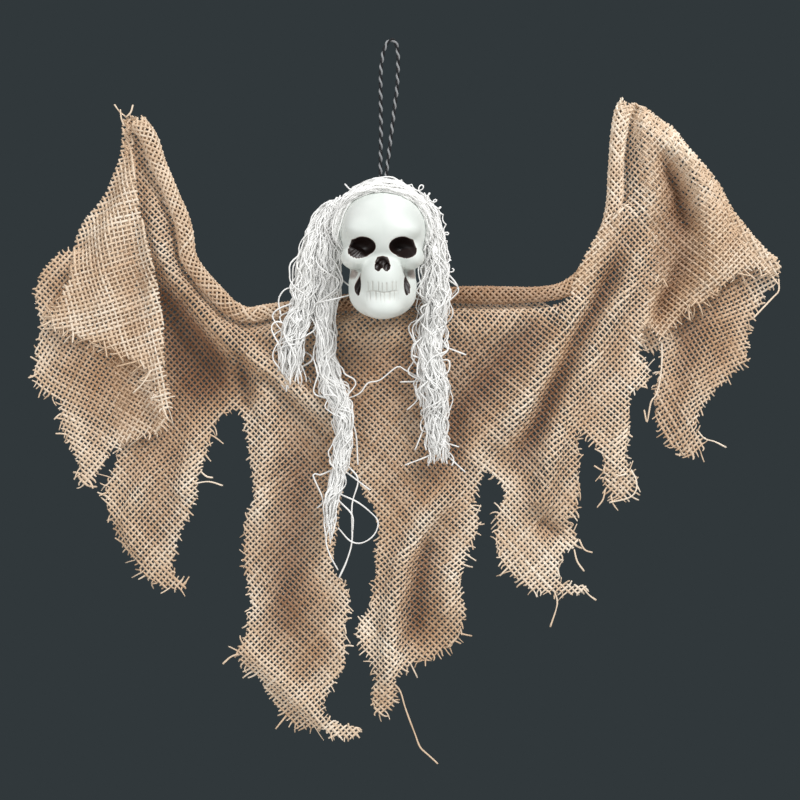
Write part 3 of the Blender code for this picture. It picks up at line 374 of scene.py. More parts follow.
FRONT_FLAP = [
    (-136.2, -43), (-136.4, -37.5), (-132, -35), (-128.5, -38), (-129.5, -44), (-130.5, -51.5),
    (-129.5, -61.5), (-128, -71.5), (-126, -84), (-123, -95), (-120, -106.5), (-117.5, -119), (-116, -129),
    (-114.5, -141.5), (-114, -154), (-113.5, -166.5), (-111.5, -176.5), (-112, -186), (-115, -187),
    (-116, -180.5), (-117.5, -173), (-120.5, -169), (-121.5, -164), (-125.5, -160.5), (-130.5, -157.5),
    (-136, -156), (-139.5, -151.5), (-144, -150.5), (-150, -150), (-156, -147), (-162, -144), (-167, -143),
    (-171, -140), (-169, -135), (-167, -130.5), (-164.5, -125), (-161.5, -120.5), (-160.8, -114),
    (-160.8, -106.5), (-160, -99), (-158, -93), (-154, -86.5), (-148, -80), (-144, -74), (-141, -66.5),
    (-138, -59), (-136.5, -51.5),
]
BACK_LAYER = [
    (167.5, -79.5), (171, -84.8), (176, -90.8), (181, -96.8), (185, -101.3), (189.5, -105.8),
    (193.6, -109), (194.8, -113), (193, -120.5), (188, -125.5), (186.5, -130), (182.5, -134.5),
    (180, -140), (179.5, -146.5), (178.5, -153), (179, -158), (175.5, -162), (171.5, -165.5),
    (167.5, -169.5), (163.5, -173.5), (159.5, -179), (156, -183.5), (154, -188), (153, -192.5),
    (155, -197), (157.5, -200.5), (156.5, -204.5), (153.5, -207), (148, -206.5), (143.5, -203.5),
    (140, -200.5), (137, -196), (134.5, -192), (134, -187.5), (133.5, -181.5), (133, -175.5), (135, -169),
    (136.5, -161.5), (137, -154), (135.5, -150), (132.5, -155.5), (128.5, -154), (125.5, -149),
    (126, -141.5), (128, -134), (131.5, -124), (136.5, -114), (144, -101.5), (154, -90), (162, -84),
]
LEFT_TURN = [
    (-135.5, -36.5), (-136, -51.5), (-137.5, -59), (-140.5, -66.5), (-143.5, -74), (-147.5, -80),
    (-153.5, -86.5), (-157.5, -93), (-159.5, -99),
]
# Where the turned edge of the right hand starts, and its corner.
TURN_START_INDEX = 10
CORNER_INDEX = 16
# The part of the right hand that is turned in behind the hood.
HOOD_LINING = RIGHT_HAND[: CORNER_INDEX + 1] + [
    (188.0, -109.0), (180.0, -110.0), (171.0, -112.5), (163.0, -119.5), (156.0, -126.0), (148.0, -129.0),
    (140.0, -124.0), (133.0, -112.0), (129.0, -95.0), (126.5, -76.0), (124.0, -56.0), (121.5, -38.0),
]
RIGHT_TURN = RIGHT_HAND[TURN_START_INDEX:CORNER_INDEX] + [(194.5, -108.5), (195.2, -113)]

# Folds of each layer: height towards the viewer, half width, and the line that the fold follows.
MAIN_FOLDS = [
    (8, 5.5, [(-121, -81.5), (-117.5, -99), (-110, -116.5), (-98.5, -134), (-83.5, -148), (-65, -160),
              (-46, -175), (-26, -191.5)]),
    (-8, 11, [(-112, -128), (-101, -151), (-91, -176)]),
    (-4, 3.5, [(-77, -146.5), (-74.5, -164), (-73.5, -184)]),
    (4.5, 6, [(-65, -166.5), (-62, -194), (-65, -219), (-68.5, -239)]),
    (-5, 9, [(-46, -204), (-51, -259), (-56, -304)]),
    (6, 5, [(-71, -304), (-51, -324), (-31, -344)]),
    (8, 5.5, [(31.5, -224), (16.5, -239), (5, -259), (0, -284), (-1, -309), (-3.5, -324)]),
    (-5.5, 5, [(18, -249), (13, -274), (11.5, -299)]),
    (4.5, 5, [(31.5, -259), (26.5, -289)]),
    (3.5, 6, [(-61, -146.5), (-31, -145), (-1, -147), (29, -144), (64, -141)]),
    (-5.5, 7, [(76.5, -139), (54, -161.5), (31.5, -189), (24, -214)]),
    (5, 6, [(84, -151.5), (64, -179), (47.5, -199), (39, -214)]),
    (6.5, 5.5, [(104, -101.5), (96.5, -124), (84, -149), (71.5, -174), (56.5, -199)]),
    (-7.5, 5, [(115, -110), (104, -130), (91.5, -154), (81.5, -174), (73, -194), (64, -211.5)]),
    (6, 6, [(128, -99), (116.5, -124), (104, -149), (94, -169), (85, -189), (76.5, -214)]),
    (6.5, 5, [(149, -91.5), (138, -116.5), (129, -134), (125, -146.5)]),
    (4, 5, [(124, -164), (113, -194), (111.5, -219)]),
    (6, 6, [(81.5, -204), (74, -234)]),
    (-5.5, 5, [(74, -239), (84, -248)]),
    (5, 6, [(124, -34), (129, -54), (131.5, -71.5), (126.5, -91.5)]),
    (-8, 5.5, [(138, -59), (145, -74), (147.5, -91.5), (143, -110), (136, -129), (130, -141.5)]),
    (7.5, 8, [(134, -41.5), (151.5, -64), (160.5, -86.5), (163, -110), (156.5, -126.5)]),
    (6, 5.5, [(-121, -214), (-133.5, -239), (-126, -259)]),
    (4, 5.5, [(-98.5, -194), (-106, -229)]),
]
MIDDLE_FOLDS = [(3.0, 5.0, [(-151, -154), (-158.5, -189), (-153.5, -214)])]
FLAP_FOLDS = [
    (3, 6, [(-133, -60), (-140, -95), (-145, -135)]),
    (3.5, 4, [(-121, -110), (-116.5, -140), (-115, -175)]),
    (-2.5, 6, [(-130, -95), (-129, -125), (-131, -150)]),
]
BACK_FOLDS = [
    (3, 5, [(172, -120), (162, -150), (150, -178), (146, -203)]),
    (-2.5, 5, [(152, -135), (145, -165)]),
]
MIDDLE_LIFT = 5.0
FLAP_LIFT = 10.5
BACK_LEVEL = 4.0
BACK_SINK = 9.5
LINING_SINK = 1.2
TURN_WIDTH = 14.0
TURN_OVERLAP = 0.8
MIDDLE_OVERLAP = TURN_OVERLAP / 3
TURN_SEAM = 3.5

# Where the fringe of a torn edge is longer: place, how far round it, and the usual length of a loose end.
FRINGES = [
    (-152, -147, 22, 6), (-128, -158, 14, 5), (-113.5, -184, 8, 4), (-181, -170, 13, 4.4),
    (-164, -192, 14, 3.2), (-156, -222, 9, 5), (-126, -195, 16, 3.6), (-143, -232, 16, 3.6),
    (-132, -262, 16, 4), (-106, -272, 10, 3.4), (-93, -203, 14, 3.4), (-75, -262, 30, 2.6),
    (-75, -310, 10, 4.2), (-40, -342, 16, 3.6), (-22, -292, 26, 2.8), (-16, -298, 16, 3.2),
    (22, -308, 22, 3.4), (38, -250, 26, 3), (-4, -334, 9, 3.6), (53, -248, 18, 3), (70, -274, 18, 3.4),
    (93, -215, 30, 3), (112, -222, 12, 3.8), (127, -165, 10, 3.4), (156, -126, 26, 5),
    (137, -180, 18, 3.2), (150, -204, 12, 3.8), (176, -150, 24, 2.4), (192, -114, 8, 3.4),
]
EDGE_FRINGE = 1.5
FLAP_TURN_INDEXES = slice(5, 15)
FLAP_TURN = [(-129.5, -40)] + FRONT_FLAP[FLAP_TURN_INDEXES]
# Edges that were turned under or rolled, so that no thread ends there, and how near such an edge is.
TURNED_EDGES = [LEFT_TURN + [(-161.5, -118.0)], RIGHT_HAND, RIGHT_SHOULDER, FLAP_TURN, ROLL_ROUTE]
TURNED_REACH = 2.6
TURNED_BACK = np.array([0.0, 1.6, 0.0])
TURNED_RUN = 0.5
END_SPREAD = (0.2, 1.3)  # shortest and longest loose end, as shares of the usual length
END_TAPER = (0.55, 0.8)  # thickness of a loose end at its tip and at the edge, as a share of its thread's
SHORTEST_END = 0.4
STUMP = (0.15, 0.6)  # how far a thread reaches past its last crossing where hardly any of it is loose
STRAIGHT_END = 1.5  # a loose end up to this long is straight
CURVE_SHARES = (0.35, 0.7, 1.0)
END_SKEW = 0.3
END_CURL = 0.7
END_DROP = np.array([0.0, -0.15, -0.3])
EDGE_PAINTED_LIGHT = (0.45, 14.0)  # painted light: how much paler the cloth is made along a torn edge, and how far in that reaches
HANGING_PAINTED_LIGHT = -2.0  # how far outside the edge a loose end gets full painted light

# Painted light and shade: places made paler as painted light where the height is positive, and browner as
# painted shade where it is negative, in the same terms as a fold.
PAINTED_LIGHT_AND_SHADE = [
    (10, 18, [(-75, -305), (-58, -325), (-30, -345)]),
    (6, 14, [(-140, -225), (-133, -250), (-112, -270)]),
    (10, 16, [(56, -240), (70, -258), (92, -275)]),
    (6, 9, [(-14, -290), (-8, -312), (-3, -330)]),
    (9, 14, [(150, -60), (168, -86), (188, -110)]),
    (5, 10, [(98, -145), (106, -170), (112, -200)]),
    (4, 12, [(-165, -150), (-170, -175), (-158, -205)]),
    (-4.5, 14, [(-116, -115), (-104, -145), (-92, -178)]),
    (-3, 16, [(133, -50), (143, -85), (140, -120)]),
    (-2.5, 22, [(-25, -150), (15, -165), (50, -155)]),
]


def smooth_step(low, high, value):
    """Goes softly from 0 at the low value to 1 at the high one, which may be the smaller."""
    t = np.clip((value - low) / (high - low), 0.0, 1.0)
    return t * t * (3.0 - 2.0 * t)


def line_distance(x, z, points):
    """Distance from each place to a line through the points, and how far along it (0 to 1) that is."""
    pts = np.asarray(points, float)
    starts = pts[:-1]
    steps = pts[1:] - starts
    lengths = np.hypot(steps[:, 0], steps[:, 1])
    before = np.concatenate([[0.0], np.cumsum(lengths)[:-1]])
    nearest = np.full(len(x), np.inf)
    along = np.zeros(len(x))
    for (x0, z0), (dx, dz), length, first in zip(starts, steps, lengths, before):
        t = np.clip(((x - x0) * dx + (z - z0) * dz) / length**2, 0.0, 1.0)
        distance = np.hypot(x - x0 - t * dx, z - z0 - t * dz)
        along = np.where(distance < nearest, first + t * length, along)
        nearest = np.minimum(nearest, distance)
    return nearest, along / lengths.sum()


def fold_lift(x, z, folds):
    """Sum of the folds at each place, each a soft ridge that fades at both ends of its line."""
    total = np.zeros(len(x))
    for height, width, points in folds:
        distance, along = line_distance(x, z, points)
        fade = smooth_step(*FOLD_FADE, along) * smooth_step(*FOLD_FADE, 1.0 - along)
        total += height * fade * np.exp(-((distance / width) ** 2))
    return total


def main_depth(x, z):
    """Depth of the main cloth: behind the hem that it hangs from, in front of it over the right shoulder."""
    depth = CLOTH_DEPTH - fold_lift(x, z, MAIN_FOLDS)
    depth += LEFT_SINK * smooth_step(*LEFT_SINK_ENDS, x)
    back = ROLL_DEPTH + ROLL_RADIUS - CLOTH_THICKNESS / 2
    front = ROLL_DEPTH - ROLL_RADIUS - CLOTH_THICKNESS / 4
    hung = ROLL_ROUTE[: SHOULDER_END_INDEX + 1], ROLL_ROUTE[HAND_START_INDEX - 1 :]
    for stretch in hung:
        distance, _ = line_distance(x, z, stretch)
        near = smooth_step(HEM_FAR * ROLL_RADIUS, HEM_NEAR * ROLL_RADIUS, distance)
        near = near * np.where((x > SHOULDER_CORNER[0]) & (z < SHOULDER_CORNER[1]), 0.0, 1.0)
        depth = depth * (1 - near) + back * near
    distance, _ = line_distance(x, z, ROLL_ROUTE[SHOULDER_END_INDEX:HAND_START_INDEX])
    near = smooth_step(SHOULDER_FAR * ROLL_RADIUS, HEM_NEAR * ROLL_RADIUS, distance)
    near = near * np.where((x > PASS_CORNER[0]) & (z < PASS_CORNER[1]), 1.0, 0.0)
    return depth * (1 - near) + front * near


def off_turn(x, z, turn):
    """How far an outer layer has left the cloth it turned over from: 0 at the turned edge, 1 well away."""
    distance, _ = line_distance(x, z, turn)
    return np.sin(math.pi / 2 * np.clip((distance - TURN_SEAM) / TURN_WIDTH, 0.0, 1.0))


def middle_depth(x, z):
    """Depth of the layer between the body and the flap at the left hand."""
    lift = MIDDLE_LIFT * off_turn(x, z, LEFT_TURN)
    return main_depth(x, z) + MIDDLE_OVERLAP - lift - fold_lift(x, z, MIDDLE_FOLDS)


def flap_depth(x, z):
    """Depth of the flap, which comes forward from the left hand's turned edge."""
    lift = FLAP_LIFT * off_turn(x, z, LEFT_TURN)
    return main_depth(x, z) + TURN_OVERLAP - lift - fold_lift(x, z, FLAP_FOLDS)


def lining_depth(x, z):
    """Depth of what is turned in behind the hood."""
    return main_depth(x, z) + LINING_SINK * off_turn(x, z, RIGHT_HAND)


def back_depth(x, z):
    """Depth of the layer that hangs behind the right hand's turned edge."""
    sink = BACK_SINK * off_turn(x, z, RIGHT_TURN)
    distance, _ = line_distance(x, z, RIGHT_TURN)
    turned = 1.0 - smooth_step(TURN_SEAM, TURN_WIDTH, distance)
    level = main_depth(x, z) * turned + BACK_LEVEL * (1.0 - turned)
    return level - TURN_OVERLAP + sink - fold_lift(x, z, BACK_FOLDS)


def inside_outline(x, z, outline):
    """How far each place is inside a closed outline, negative outside it."""
    pts = np.asarray(outline, float)
    inside = np.zeros(len(x), bool)
    for (x0, z0), (x1, z1) in zip(pts, np.roll(pts, -1, axis=0)):
        if z0 != z1:
            crossed = (z0 > z) != (z1 > z)
            inside ^= crossed & (x < (x1 - x0) * (z - z0) / (z1 - z0) + x0)
    distance, _ = line_distance(x, z, np.vstack([pts, pts[:1]]))
    return np.where(inside, distance, -distance)


def read_map(field, low, x, z):
    """A value between the places of a map that was filled in at every map step."""
    i = np.clip((x - low[0]) / MAP_STEP, 0, field.shape[0] - LAST_CELL)
    j = np.clip((z - low[1]) / MAP_STEP, 0, field.shape[1] - LAST_CELL)
    i0, j0 = i.astype(int), j.astype(int)
    s, t = i - i0, j - j0
    near = field[i0, j0] * (1 - s) + field[i0 + 1, j0] * s
    far = field[i0, j0 + 1] * (1 - s) + field[i0 + 1, j0 + 1] * s
    return near * (1 - t) + far * t


def wander(rng, count, every):
    """A soft random line of so many values, about one in size, that turns about once in every few."""
    knots = rng.normal(size=count // every + 2)
    first, share = np.divmod(np.arange(count) / every, 1.0)
    first = first.astype(int)
    return knots[first] + (knots[first + 1] - knots[first]) * share * share * (3.0 - 2.0 * share)


def laid_crossings(outline, depth_of, angle_deg, rng):
    """Where the threads cross, a pitch apart along the folds, and how far inside the edge each place is."""
    pts = np.asarray(outline, float)
    low, high = pts.min(0) - SHEET_MARGIN, pts.max(0) + SHEET_MARGIN
    places_x = np.arange(low[0], high[0] + MAP_STEP, MAP_STEP)
    places_z = np.arange(low[1], high[1] + MAP_STEP, MAP_STEP)
    map_x, map_z = np.meshgrid(places_x, places_z, indexing="ij")
    depths = depth_of(map_x.ravel(), map_z.ravel()).reshape(map_x.shape)
    covers = inside_outline(map_x.ravel(), map_z.ravel(), outline).reshape(map_x.shape)
    angle = math.radians(angle_deg)
    along = np.array([math.cos(angle), math.sin(angle)])
    across = np.array([-math.sin(angle), math.cos(angle)])
    count = int(np.hypot(*(high - low)) / 2 / PITCH) + 2
    steps = np.arange(-count, count + 1) * PITCH
    flat = (low + high) / 2 + steps[:, None, None] * along + steps[None, :, None] * across
    for wave in WEAVE_WAVES:
        turn, phase = rng.uniform(0, 2 * math.pi, 2)
        run = (flat[..., 0] * math.cos(turn) + flat[..., 1] * math.sin(turn)) * 2 * math.pi / wave
        sway = np.array([-math.sin(turn), math.cos(turn)])
        flat = flat + np.sin(run + phase)[..., None] * sway * wave / WAVE_FLATNESS
    start = flat.copy()
    for _ in range(SETTLE_ROUNDS):
        full = np.dstack([flat, read_map(depths, low, flat[..., 0], flat[..., 1])])
        move = (start - flat) * SETTLE_HOLD
        for axis in (0, 1):
            step = np.diff(full, axis=axis)
            length = np.linalg.norm(step, axis=2, keepdims=True)
            pull = SETTLE_PULL * (1 - PITCH / length) * step[..., :2]
            if axis == 0:
                move[:-1] += pull
                move[1:] -= pull
            else:
                move[:, :-1] += pull
                move[:, 1:] -= pull
        flat = flat + move
    x, z = flat[..., 0], flat[..., 1]
    return np.dstack([x, read_map(depths, low, x, z), z]), read_map(covers, low, x, z)


def fringe_length(place):
    """How long a loose end usually is at this place of an edge, and 0 where the edge is turned under."""
    x, z = place[:1], place[2:]
    if min(line_distance(x, z, turn)[0][0] for turn in TURNED_EDGES) < TURNED_REACH:
        return 0.0
    longest = EDGE_FRINGE
    for x, z, reach, length in FRINGES:
        if math.hypot(place[0] - x, place[2] - z) < reach:
            longest = max(longest, length)
    return longest


def loose_end(line, cover, here, beyond, rng):
    """Points past a thread's last covered crossing: where it is torn, and the frayed bit that hangs out."""
    if not 0 <= beyond < len(line):
        return []
    share = cover[here] / (cover[here] - cover[beyond])
    edge = line[here] + (line[beyond] - line[here]) * share
    usual = fringe_length(edge)
    if usual == 0.0:
        return [edge, edge + TURNED_BACK - TURNED_RUN * unit(line[beyond] - line[here])]
    length = usual * rng.uniform(*END_SPREAD)
    way = unit(line[beyond] - line[here] + rng.normal(0, END_SKEW, 3) * PITCH)
    if length < SHORTEST_END:
        return [line[here] + (line[beyond] - line[here]) * max(STUMP[0], share * STUMP[1])]
    curl = rng.normal(0, END_CURL, 3) + END_DROP
    shares = CURVE_SHARES if length > STRAIGHT_END else CURVE_SHARES[-1:]
    return [edge] + [edge + length * (s * way + s * s * curl / 2) for s in shares]


def woven_strands(places, cover, radius, seed):
    """Threads over and under each other through the crossings, torn off where the cover ends."""
    rng = np.random.default_rng(seed)
    normals = unit(np.cross(np.gradient(places, axis=0), np.gradient(places, axis=1)))
    rows, columns = cover.shape
    over = (np.add.outer(np.arange(rows), np.arange(columns)) % 2) * 2.0 - 1.0
    strands = []
    for family in (1.0, -1.0):
        lines = places + normals * (over * family * CROSSING_LIFT)[..., None]
        covers = cover
        if family < 0:
            lines, covers = lines.transpose(1, 0, 2), cover.T
        for line, covered in zip(lines, covers):
            size = radius * np.clip(rng.normal(1.0, SIZE_SPREAD), *SIZE_LIMITS)
            tone = rng.uniform()
            radii = size * np.clip(1 + UNEVENNESS * wander(rng, len(line), UNEVEN_EVERY), *UNEVEN_LIMITS)
            edges = np.flatnonzero(np.diff(np.concatenate([[False], covered > 0, [False]]).astype(int)))
            for first, stop in edges.reshape(-1, 2):
                if stop - first < 2:
                    continue
                before = loose_end(line, covered, first, first - 1, rng)
                after = loose_end(line, covered, stop - 1, stop, rng)
                points = np.array(before[::-1] + list(line[first:stop]) + after)
                sizes = np.concatenate([
                    radii[first] * np.linspace(*END_TAPER, len(before)), radii[first:stop],
                    radii[stop - 1] * np.linspace(*END_TAPER[::-1], len(after)),
                ])
                strands.append((points, sizes, tone))
    return strands


def mix_colours(tree, share, first, second, blend="MIX"):
    """Two colours mixed, the second by this share."""
    inputs = {0: share, 6: first, 7: second}
    return add_node(tree, "ShaderNodeMix", inputs, data_type="RGBA", blend_type=blend).outputs[2]


def hessian_material():
    """Unbleached jute, spun rough and woven loose: matt tan, each thread its own tone.

    The fade value is painted light and shade. It runs from 0 in the valleys of the folds, made browner as
    painted shade, to 1 on ridges and loose ends, made paler as painted light.
    """
    made, tree, shader, place = new_material("woven_jute_hessian", HESSIAN_ROUGHNESS)
    fibre = noise(tree, place, HESSIAN_FIBRE, detail=3.0)
    tones = {0: mesh_value(tree, "tone"), 1: TONE_SHARE}
    tone = add_node(tree, "ShaderNodeMath", tones, operation="MULTIPLY").outputs[0]
    shades = {0: fibre, 1: TONE_SHARE, 2: tone}
    shade = add_node(tree, "ShaderNodeMath", shades, operation="MULTIPLY_ADD").outputs[0]
    thread = ramp_colour(tree, shade, [(0.1, "#D2B99D"), (0.45, "#EFDAC1"), (0.85, "#FDF3E3")])
    patches = ramp_colour(tree, noise(tree, place, HESSIAN_PATCH), [(0.35, "#E6DACE"), (0.65, "#FFFFFF")])
    # Painted shade in the fold valleys and painted light on the ridges, multiplied into the thread colour.
    painted_light_stops = [(0.0, "#A89080"), (1.0, "#FFFFFF"), (0.5, "#DFD2C6")]
    painted_light_colour = ramp_colour(tree, mesh_value(tree, "fade"), painted_light_stops)
    patched = mix_colours(tree, 1.0, thread, patches, "MULTIPLY")
    tree.links.new(mix_colours(tree, 1.0, patched, painted_light_colour, "MULTIPLY"), shader.inputs["Base Color"])
    add_relief(tree, shader, fibre, HESSIAN_RELIEF)
    return made


def add_painted_light_and_shade(mesh, folds, outline, base):
    """Painted light and shade at each place of a layer, from its folds and from whether it hangs out of the
    edge.
    """
    places = np.empty(len(mesh.vertices) * 3)
    mesh.vertices.foreach_get("co", places)
    x, _, z = places.reshape(-1, 3).T / MM
    fade = base + (fold_lift(x, z, MAIN_FOLDS) + fold_lift(x, z, PAINTED_LIGHT_AND_SHADE)) / PAINTED_LIGHT_LIFT
    if folds is not MAIN_FOLDS:
        fade = fade + fold_lift(x, z, folds) / PAINTED_LIGHT_LIFT
    if outline:
        inside = inside_outline(x, z, outline)
        # Painted light along the torn edge and on the loose ends that hang out of it.
        fade = fade + EDGE_PAINTED_LIGHT[0] * smooth_step(EDGE_PAINTED_LIGHT[1], 0.0, inside)
        fade = np.maximum(fade, smooth_step(0.0, HANGING_PAINTED_LIGHT, inside))
    set_values(mesh, "fade", np.clip(fade, 0.0, 1.0))


hessian = hessian_material()
main_outline = LEFT_HAND + ROLL_ROUTE[1:SHOULDER_END_INDEX] + RIGHT_SHOULDER
main_outline += ROLL_ROUTE[HAND_START_INDEX:-1] + RIGHT_HAND + HOOD_HEM
main_outline += RIGHT_SLEEVE_TAIL + RIGHT_TAIL + MIDDLE_TAIL + LONG_TAIL + LEFT_TAIL

PAINTED_LIGHT_LIFT = 16.0  # a fold this high goes from full painted shade to full painted light
CROSSING_SEED = 40
THREAD_SEED = 50
# Each layer: its name, outline, depth, folds, thread angle, thread radius, its painted light level (low for
# a layer in shade, high for one in the light), and its cut.
LAYERS = [
    ("cloth_body", main_outline, main_depth, MAIN_FOLDS, 45.0, 0.57, 0.42, (0.345, 0.330)),
    ("cloth_middle_layer", MIDDLE_LAYER, middle_depth, MIDDLE_FOLDS, 55.0, 0.6, 0.45, (0.072, 0.168)),
    ("cloth_front_flap", FRONT_FLAP, flap_depth, FLAP_FOLDS, 15.0, 0.62, 0.82, (0.064, 0.156)),
    ("cloth_back_layer", BACK_LAYER, back_depth, BACK_FOLDS, 30.0, 0.6, 0.3, (0.074, 0.132)),
    ("cloth_hood_lining", HOOD_LINING, lining_depth, MAIN_FOLDS, 62.0, 0.6, 0.5, (0.074, 0.100)),
]
layer_pieces = {}
for number, (name, outline, depth_of, folds, angle_deg, thread_radius, fade, _) in enumerate(LAYERS):
    rng = np.random.default_rng(CROSSING_SEED + number)
    places, cover = laid_crossings(outline, depth_of, angle_deg, rng)
    threads = woven_strands(places, cover, thread_radius, THREAD_SEED + number)
    mesh = strands_mesh(name, threads, flatness=THREAD_FLATNESS)
    add_painted_light_and_shade(mesh, folds, outline, fade)
    layer_pieces[name] = add_piece(name, mesh, hessian)

# The rolled hem
# The sheet's own top edge, rolled once round the wire from behind over the top, so its weave runs on
# slantwise round the roll. The roll is a little uneven, as soft cloth is.
HEM_THICKNESS = 1.1
HEM_MIDDLE = ROLL_RADIUS - HEM_THICKNESS / 2  # radius at which the roll's threads cross
HEM_END = 1.0  # how far the weave runs on past both ends of the roll's line
HEM_UNEVEN = 0.05
HEM_WAVES = ((7.3, 0.0), (11.9, 1.0))  # how long the roll's uneven stretches are, and where they start
HEM_THREAD_RADIUS = 0.56
HEM_STEP = 1.0
HEM_SEED = 60
# The roll's painted light level, and a browner stretch of painted shade behind the head.
HEM_PAINTED_LIGHT = 0.95
HEM_PAINTED_SHADE = [(-12.0, 40.0, [(-60.0, -134.0), (95.0, -122.0)])]  # painted shade where the roll runs behind the head


def hem_crossings():
    """Where the threads cross on the roll, whose weave lies at 45 degrees to its length, and its cover."""
    line = smooth_line([(x, 0.0, z) for x, z in ROLL_ROUTE], HEM_STEP)
    along = np.concatenate([[0.0], np.cumsum(np.linalg.norm(np.diff(line, axis=0), axis=1))])
    tangents = unit(np.gradient(line, axis=0))
    width = HEM_MIDDLE * math.radians(360.0 - ROLL_OPENING_DEG)
    u, v = np.meshgrid(
        np.arange(0.0, (along[-1] + width) / math.sqrt(2), PITCH),
        np.arange(-width / math.sqrt(2), along[-1] / math.sqrt(2), PITCH), indexing="ij",
    )
    s, w = (u + v) / math.sqrt(2), (u - v) / math.sqrt(2)
    held = np.clip(s, 0.0, along[-1])
    middle = np.stack([np.interp(held, along, line[:, k]) for k in range(3)], axis=-1)
    tangent = np.stack([np.interp(held, along, tangents[:, k]) for k in range(3)], axis=-1)
    up = np.stack([-tangent[..., 2], np.zeros(s.shape), tangent[..., 0]], axis=-1)
    reach = HEM_MIDDLE * (1 + HEM_UNEVEN * sum(np.sin(s / length + start) for length, start in HEM_WAVES))
    angle = math.radians(ROLL_START_DEG) + w / HEM_MIDDLE
    places = middle + tangent * (s - held)[..., None] + up * (reach * np.sin(angle))[..., None]
    places[..., 1] += ROLL_DEPTH + reach * np.cos(angle)
    cover = np.minimum.reduce([s + HEM_END, along[-1] + HEM_END - s, w, width - w])
    return places, cover


hem_strands = woven_strands(*hem_crossings(), HEM_THREAD_RADIUS, HEM_SEED)
hem_mesh = strands_mesh("cloth_rolled_hem", hem_strands, 1)
add_painted_light_and_shade(hem_mesh, HEM_PAINTED_SHADE, None, HEM_PAINTED_LIGHT)
hem = add_piece("cloth_rolled_hem", hem_mesh, hessian)

# Loose threads
# Long threads pulled out of the torn edges, which hang or curl where they came out.
LOOSE_THREAD_RADIUS = 0.42
LOOSE_STEP = 1.5
LOOSE_BEND = 0.6
LOOSE_BEND_SHARES = (0.2, 1.0)  # how much of the bend there is at the start and at the free end
LOOSE_BEND_EVERY = 5
LOOSE_UNEVEN_EVERY = 3
LOOSE_LIMITS = (0.6, 1.4)
LOOSE_TONES = (0.3, 1.0)
LOOSE_SEED = 61
LOOSE_THREADS = [
    (6, [(-134, -36.5), (-137, -34), (-139.5, -30.5)]),
    (6, [(-134, -37), (-131.5, -34.5), (-130.5, -30.5)]),
    (5, [(-134.5, -41.5), (-136, -37.5), (-136.5, -33)]),
    (-3.5, [(-125.5, -159), (-124, -162), (-123.5, -164)]),
    (-3.5, [(-120, -164), (-124, -170.5), (-129, -175.5)]),
    (5, [(-99.5, -221), (-92, -220), (-85, -222)]),
    (5, [(-96, -215), (-93, -217.5), (-90, -218)]),
    (5, [(-77, -306.5), (-81, -308), (-85, -311.5)]),
    (4, [(0.5, -321), (4, -325), (6.5, -333), (9, -340), (11.5, -346.5), (14, -353), (17.5, -356.5),
         (23, -361.5)]),
    (5, [(94, -249), (96.5, -254), (100.5, -255.5)]),
    (5, [(91.5, -254), (93, -260), (96.5, -265)]),
    (5, [(81.5, -275), (83, -281.5), (79.5, -293)]),
    (5, [(96.5, -274), (99, -277), (102.5, -279.5)]),
    (5, [(101.5, -212), (106, -214.5), (110.5, -214)]),
    (4, [(110.5, -215), (114, -217), (117.5, -216)]),
    (4, [(120, -214), (122.5, -219), (122.5, -224), (119, -228), (109, -230.5)]),
    (5, [(107, -224), (106, -229), (103, -233)]),
    (5, [(110, -227), (111, -231), (113.5, -234.5)]),
    (9, [(136, -150), (136, -159), (135, -169), (133, -176.5), (130.5, -180), (128.5, -190), (127, -184)]),
    (7, [(194.5, -118), (194.5, -124), (191.5, -127.5), (181.5, -138)]),
    (12, [(154, -194), (158, -198.5), (163, -200), (169, -203)]),
]


def loose_strands(threads, radius, seed):
    """Each thread as a soft line at its own depth, bending a little towards and away from the viewer."""
    rng = np.random.default_rng(seed)
    strands = []
    for depth, points in threads:
        line = smooth_line([(x, depth, z) for x, z in points], LOOSE_STEP)
        bend = LOOSE_BEND * wander(rng, len(line), LOOSE_BEND_EVERY)
        line[:, 1] += bend * np.linspace(*LOOSE_BEND_SHARES, len(line))
        radii = radius * np.clip(1 + UNEVENNESS * wander(rng, len(line), LOOSE_UNEVEN_EVERY), *LOOSE_LIMITS)
        strands.append((line, radii, rng.uniform(*LOOSE_TONES)))
    return strands


torn_threads = loose_strands(LOOSE_THREADS, LOOSE_THREAD_RADIUS, LOOSE_SEED)
loose_mesh = strands_mesh("cloth_loose_threads", torn_threads, 1)
# The loose threads get full painted light.
add_painted_light_and_shade(loose_mesh, [], None, 1.0)
loose_threads = add_piece("cloth_loose_threads", loose_mesh, hessian)
for name, *_, flat_size in LAYERS:
    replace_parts(layer_pieces[name], "cloth")

# The skull
# A small hollow moulding in off-white plastic with a soft sheen. The eye sockets, the nose and the hollows
# of the cheeks are painted by hand in a dark red-brown gloss, thinner at their rims.
SKULL_CENTRE = (-4.6, -3.0, -95.0)
CRANIUM = (22.5, 27.0, 23.5)
SKULL_REACH = 56.0
FACE_BIAS = (0.0, -0.45, -0.2)  # gathers the surface's points towards the face
SKULL_CUTS = 5
FACE_CUTS = [  # lowest and highest direction of a part of the face, and how often its edges are cut finer
    ((-0.7, -1, -0.95), (0.7, -0.25, 0.06), 3),
    ((-0.34, -1, -0.9), (0.34, -0.25, -0.6), 1),
]
SEAT_RADIUS = 4.6
SEAT_INDEXES = slice(13, 23)  # the part of the hem's line that passes behind the jaw
SURFACE_STEP = 0.5
SURFACE_ROUNDS = 8
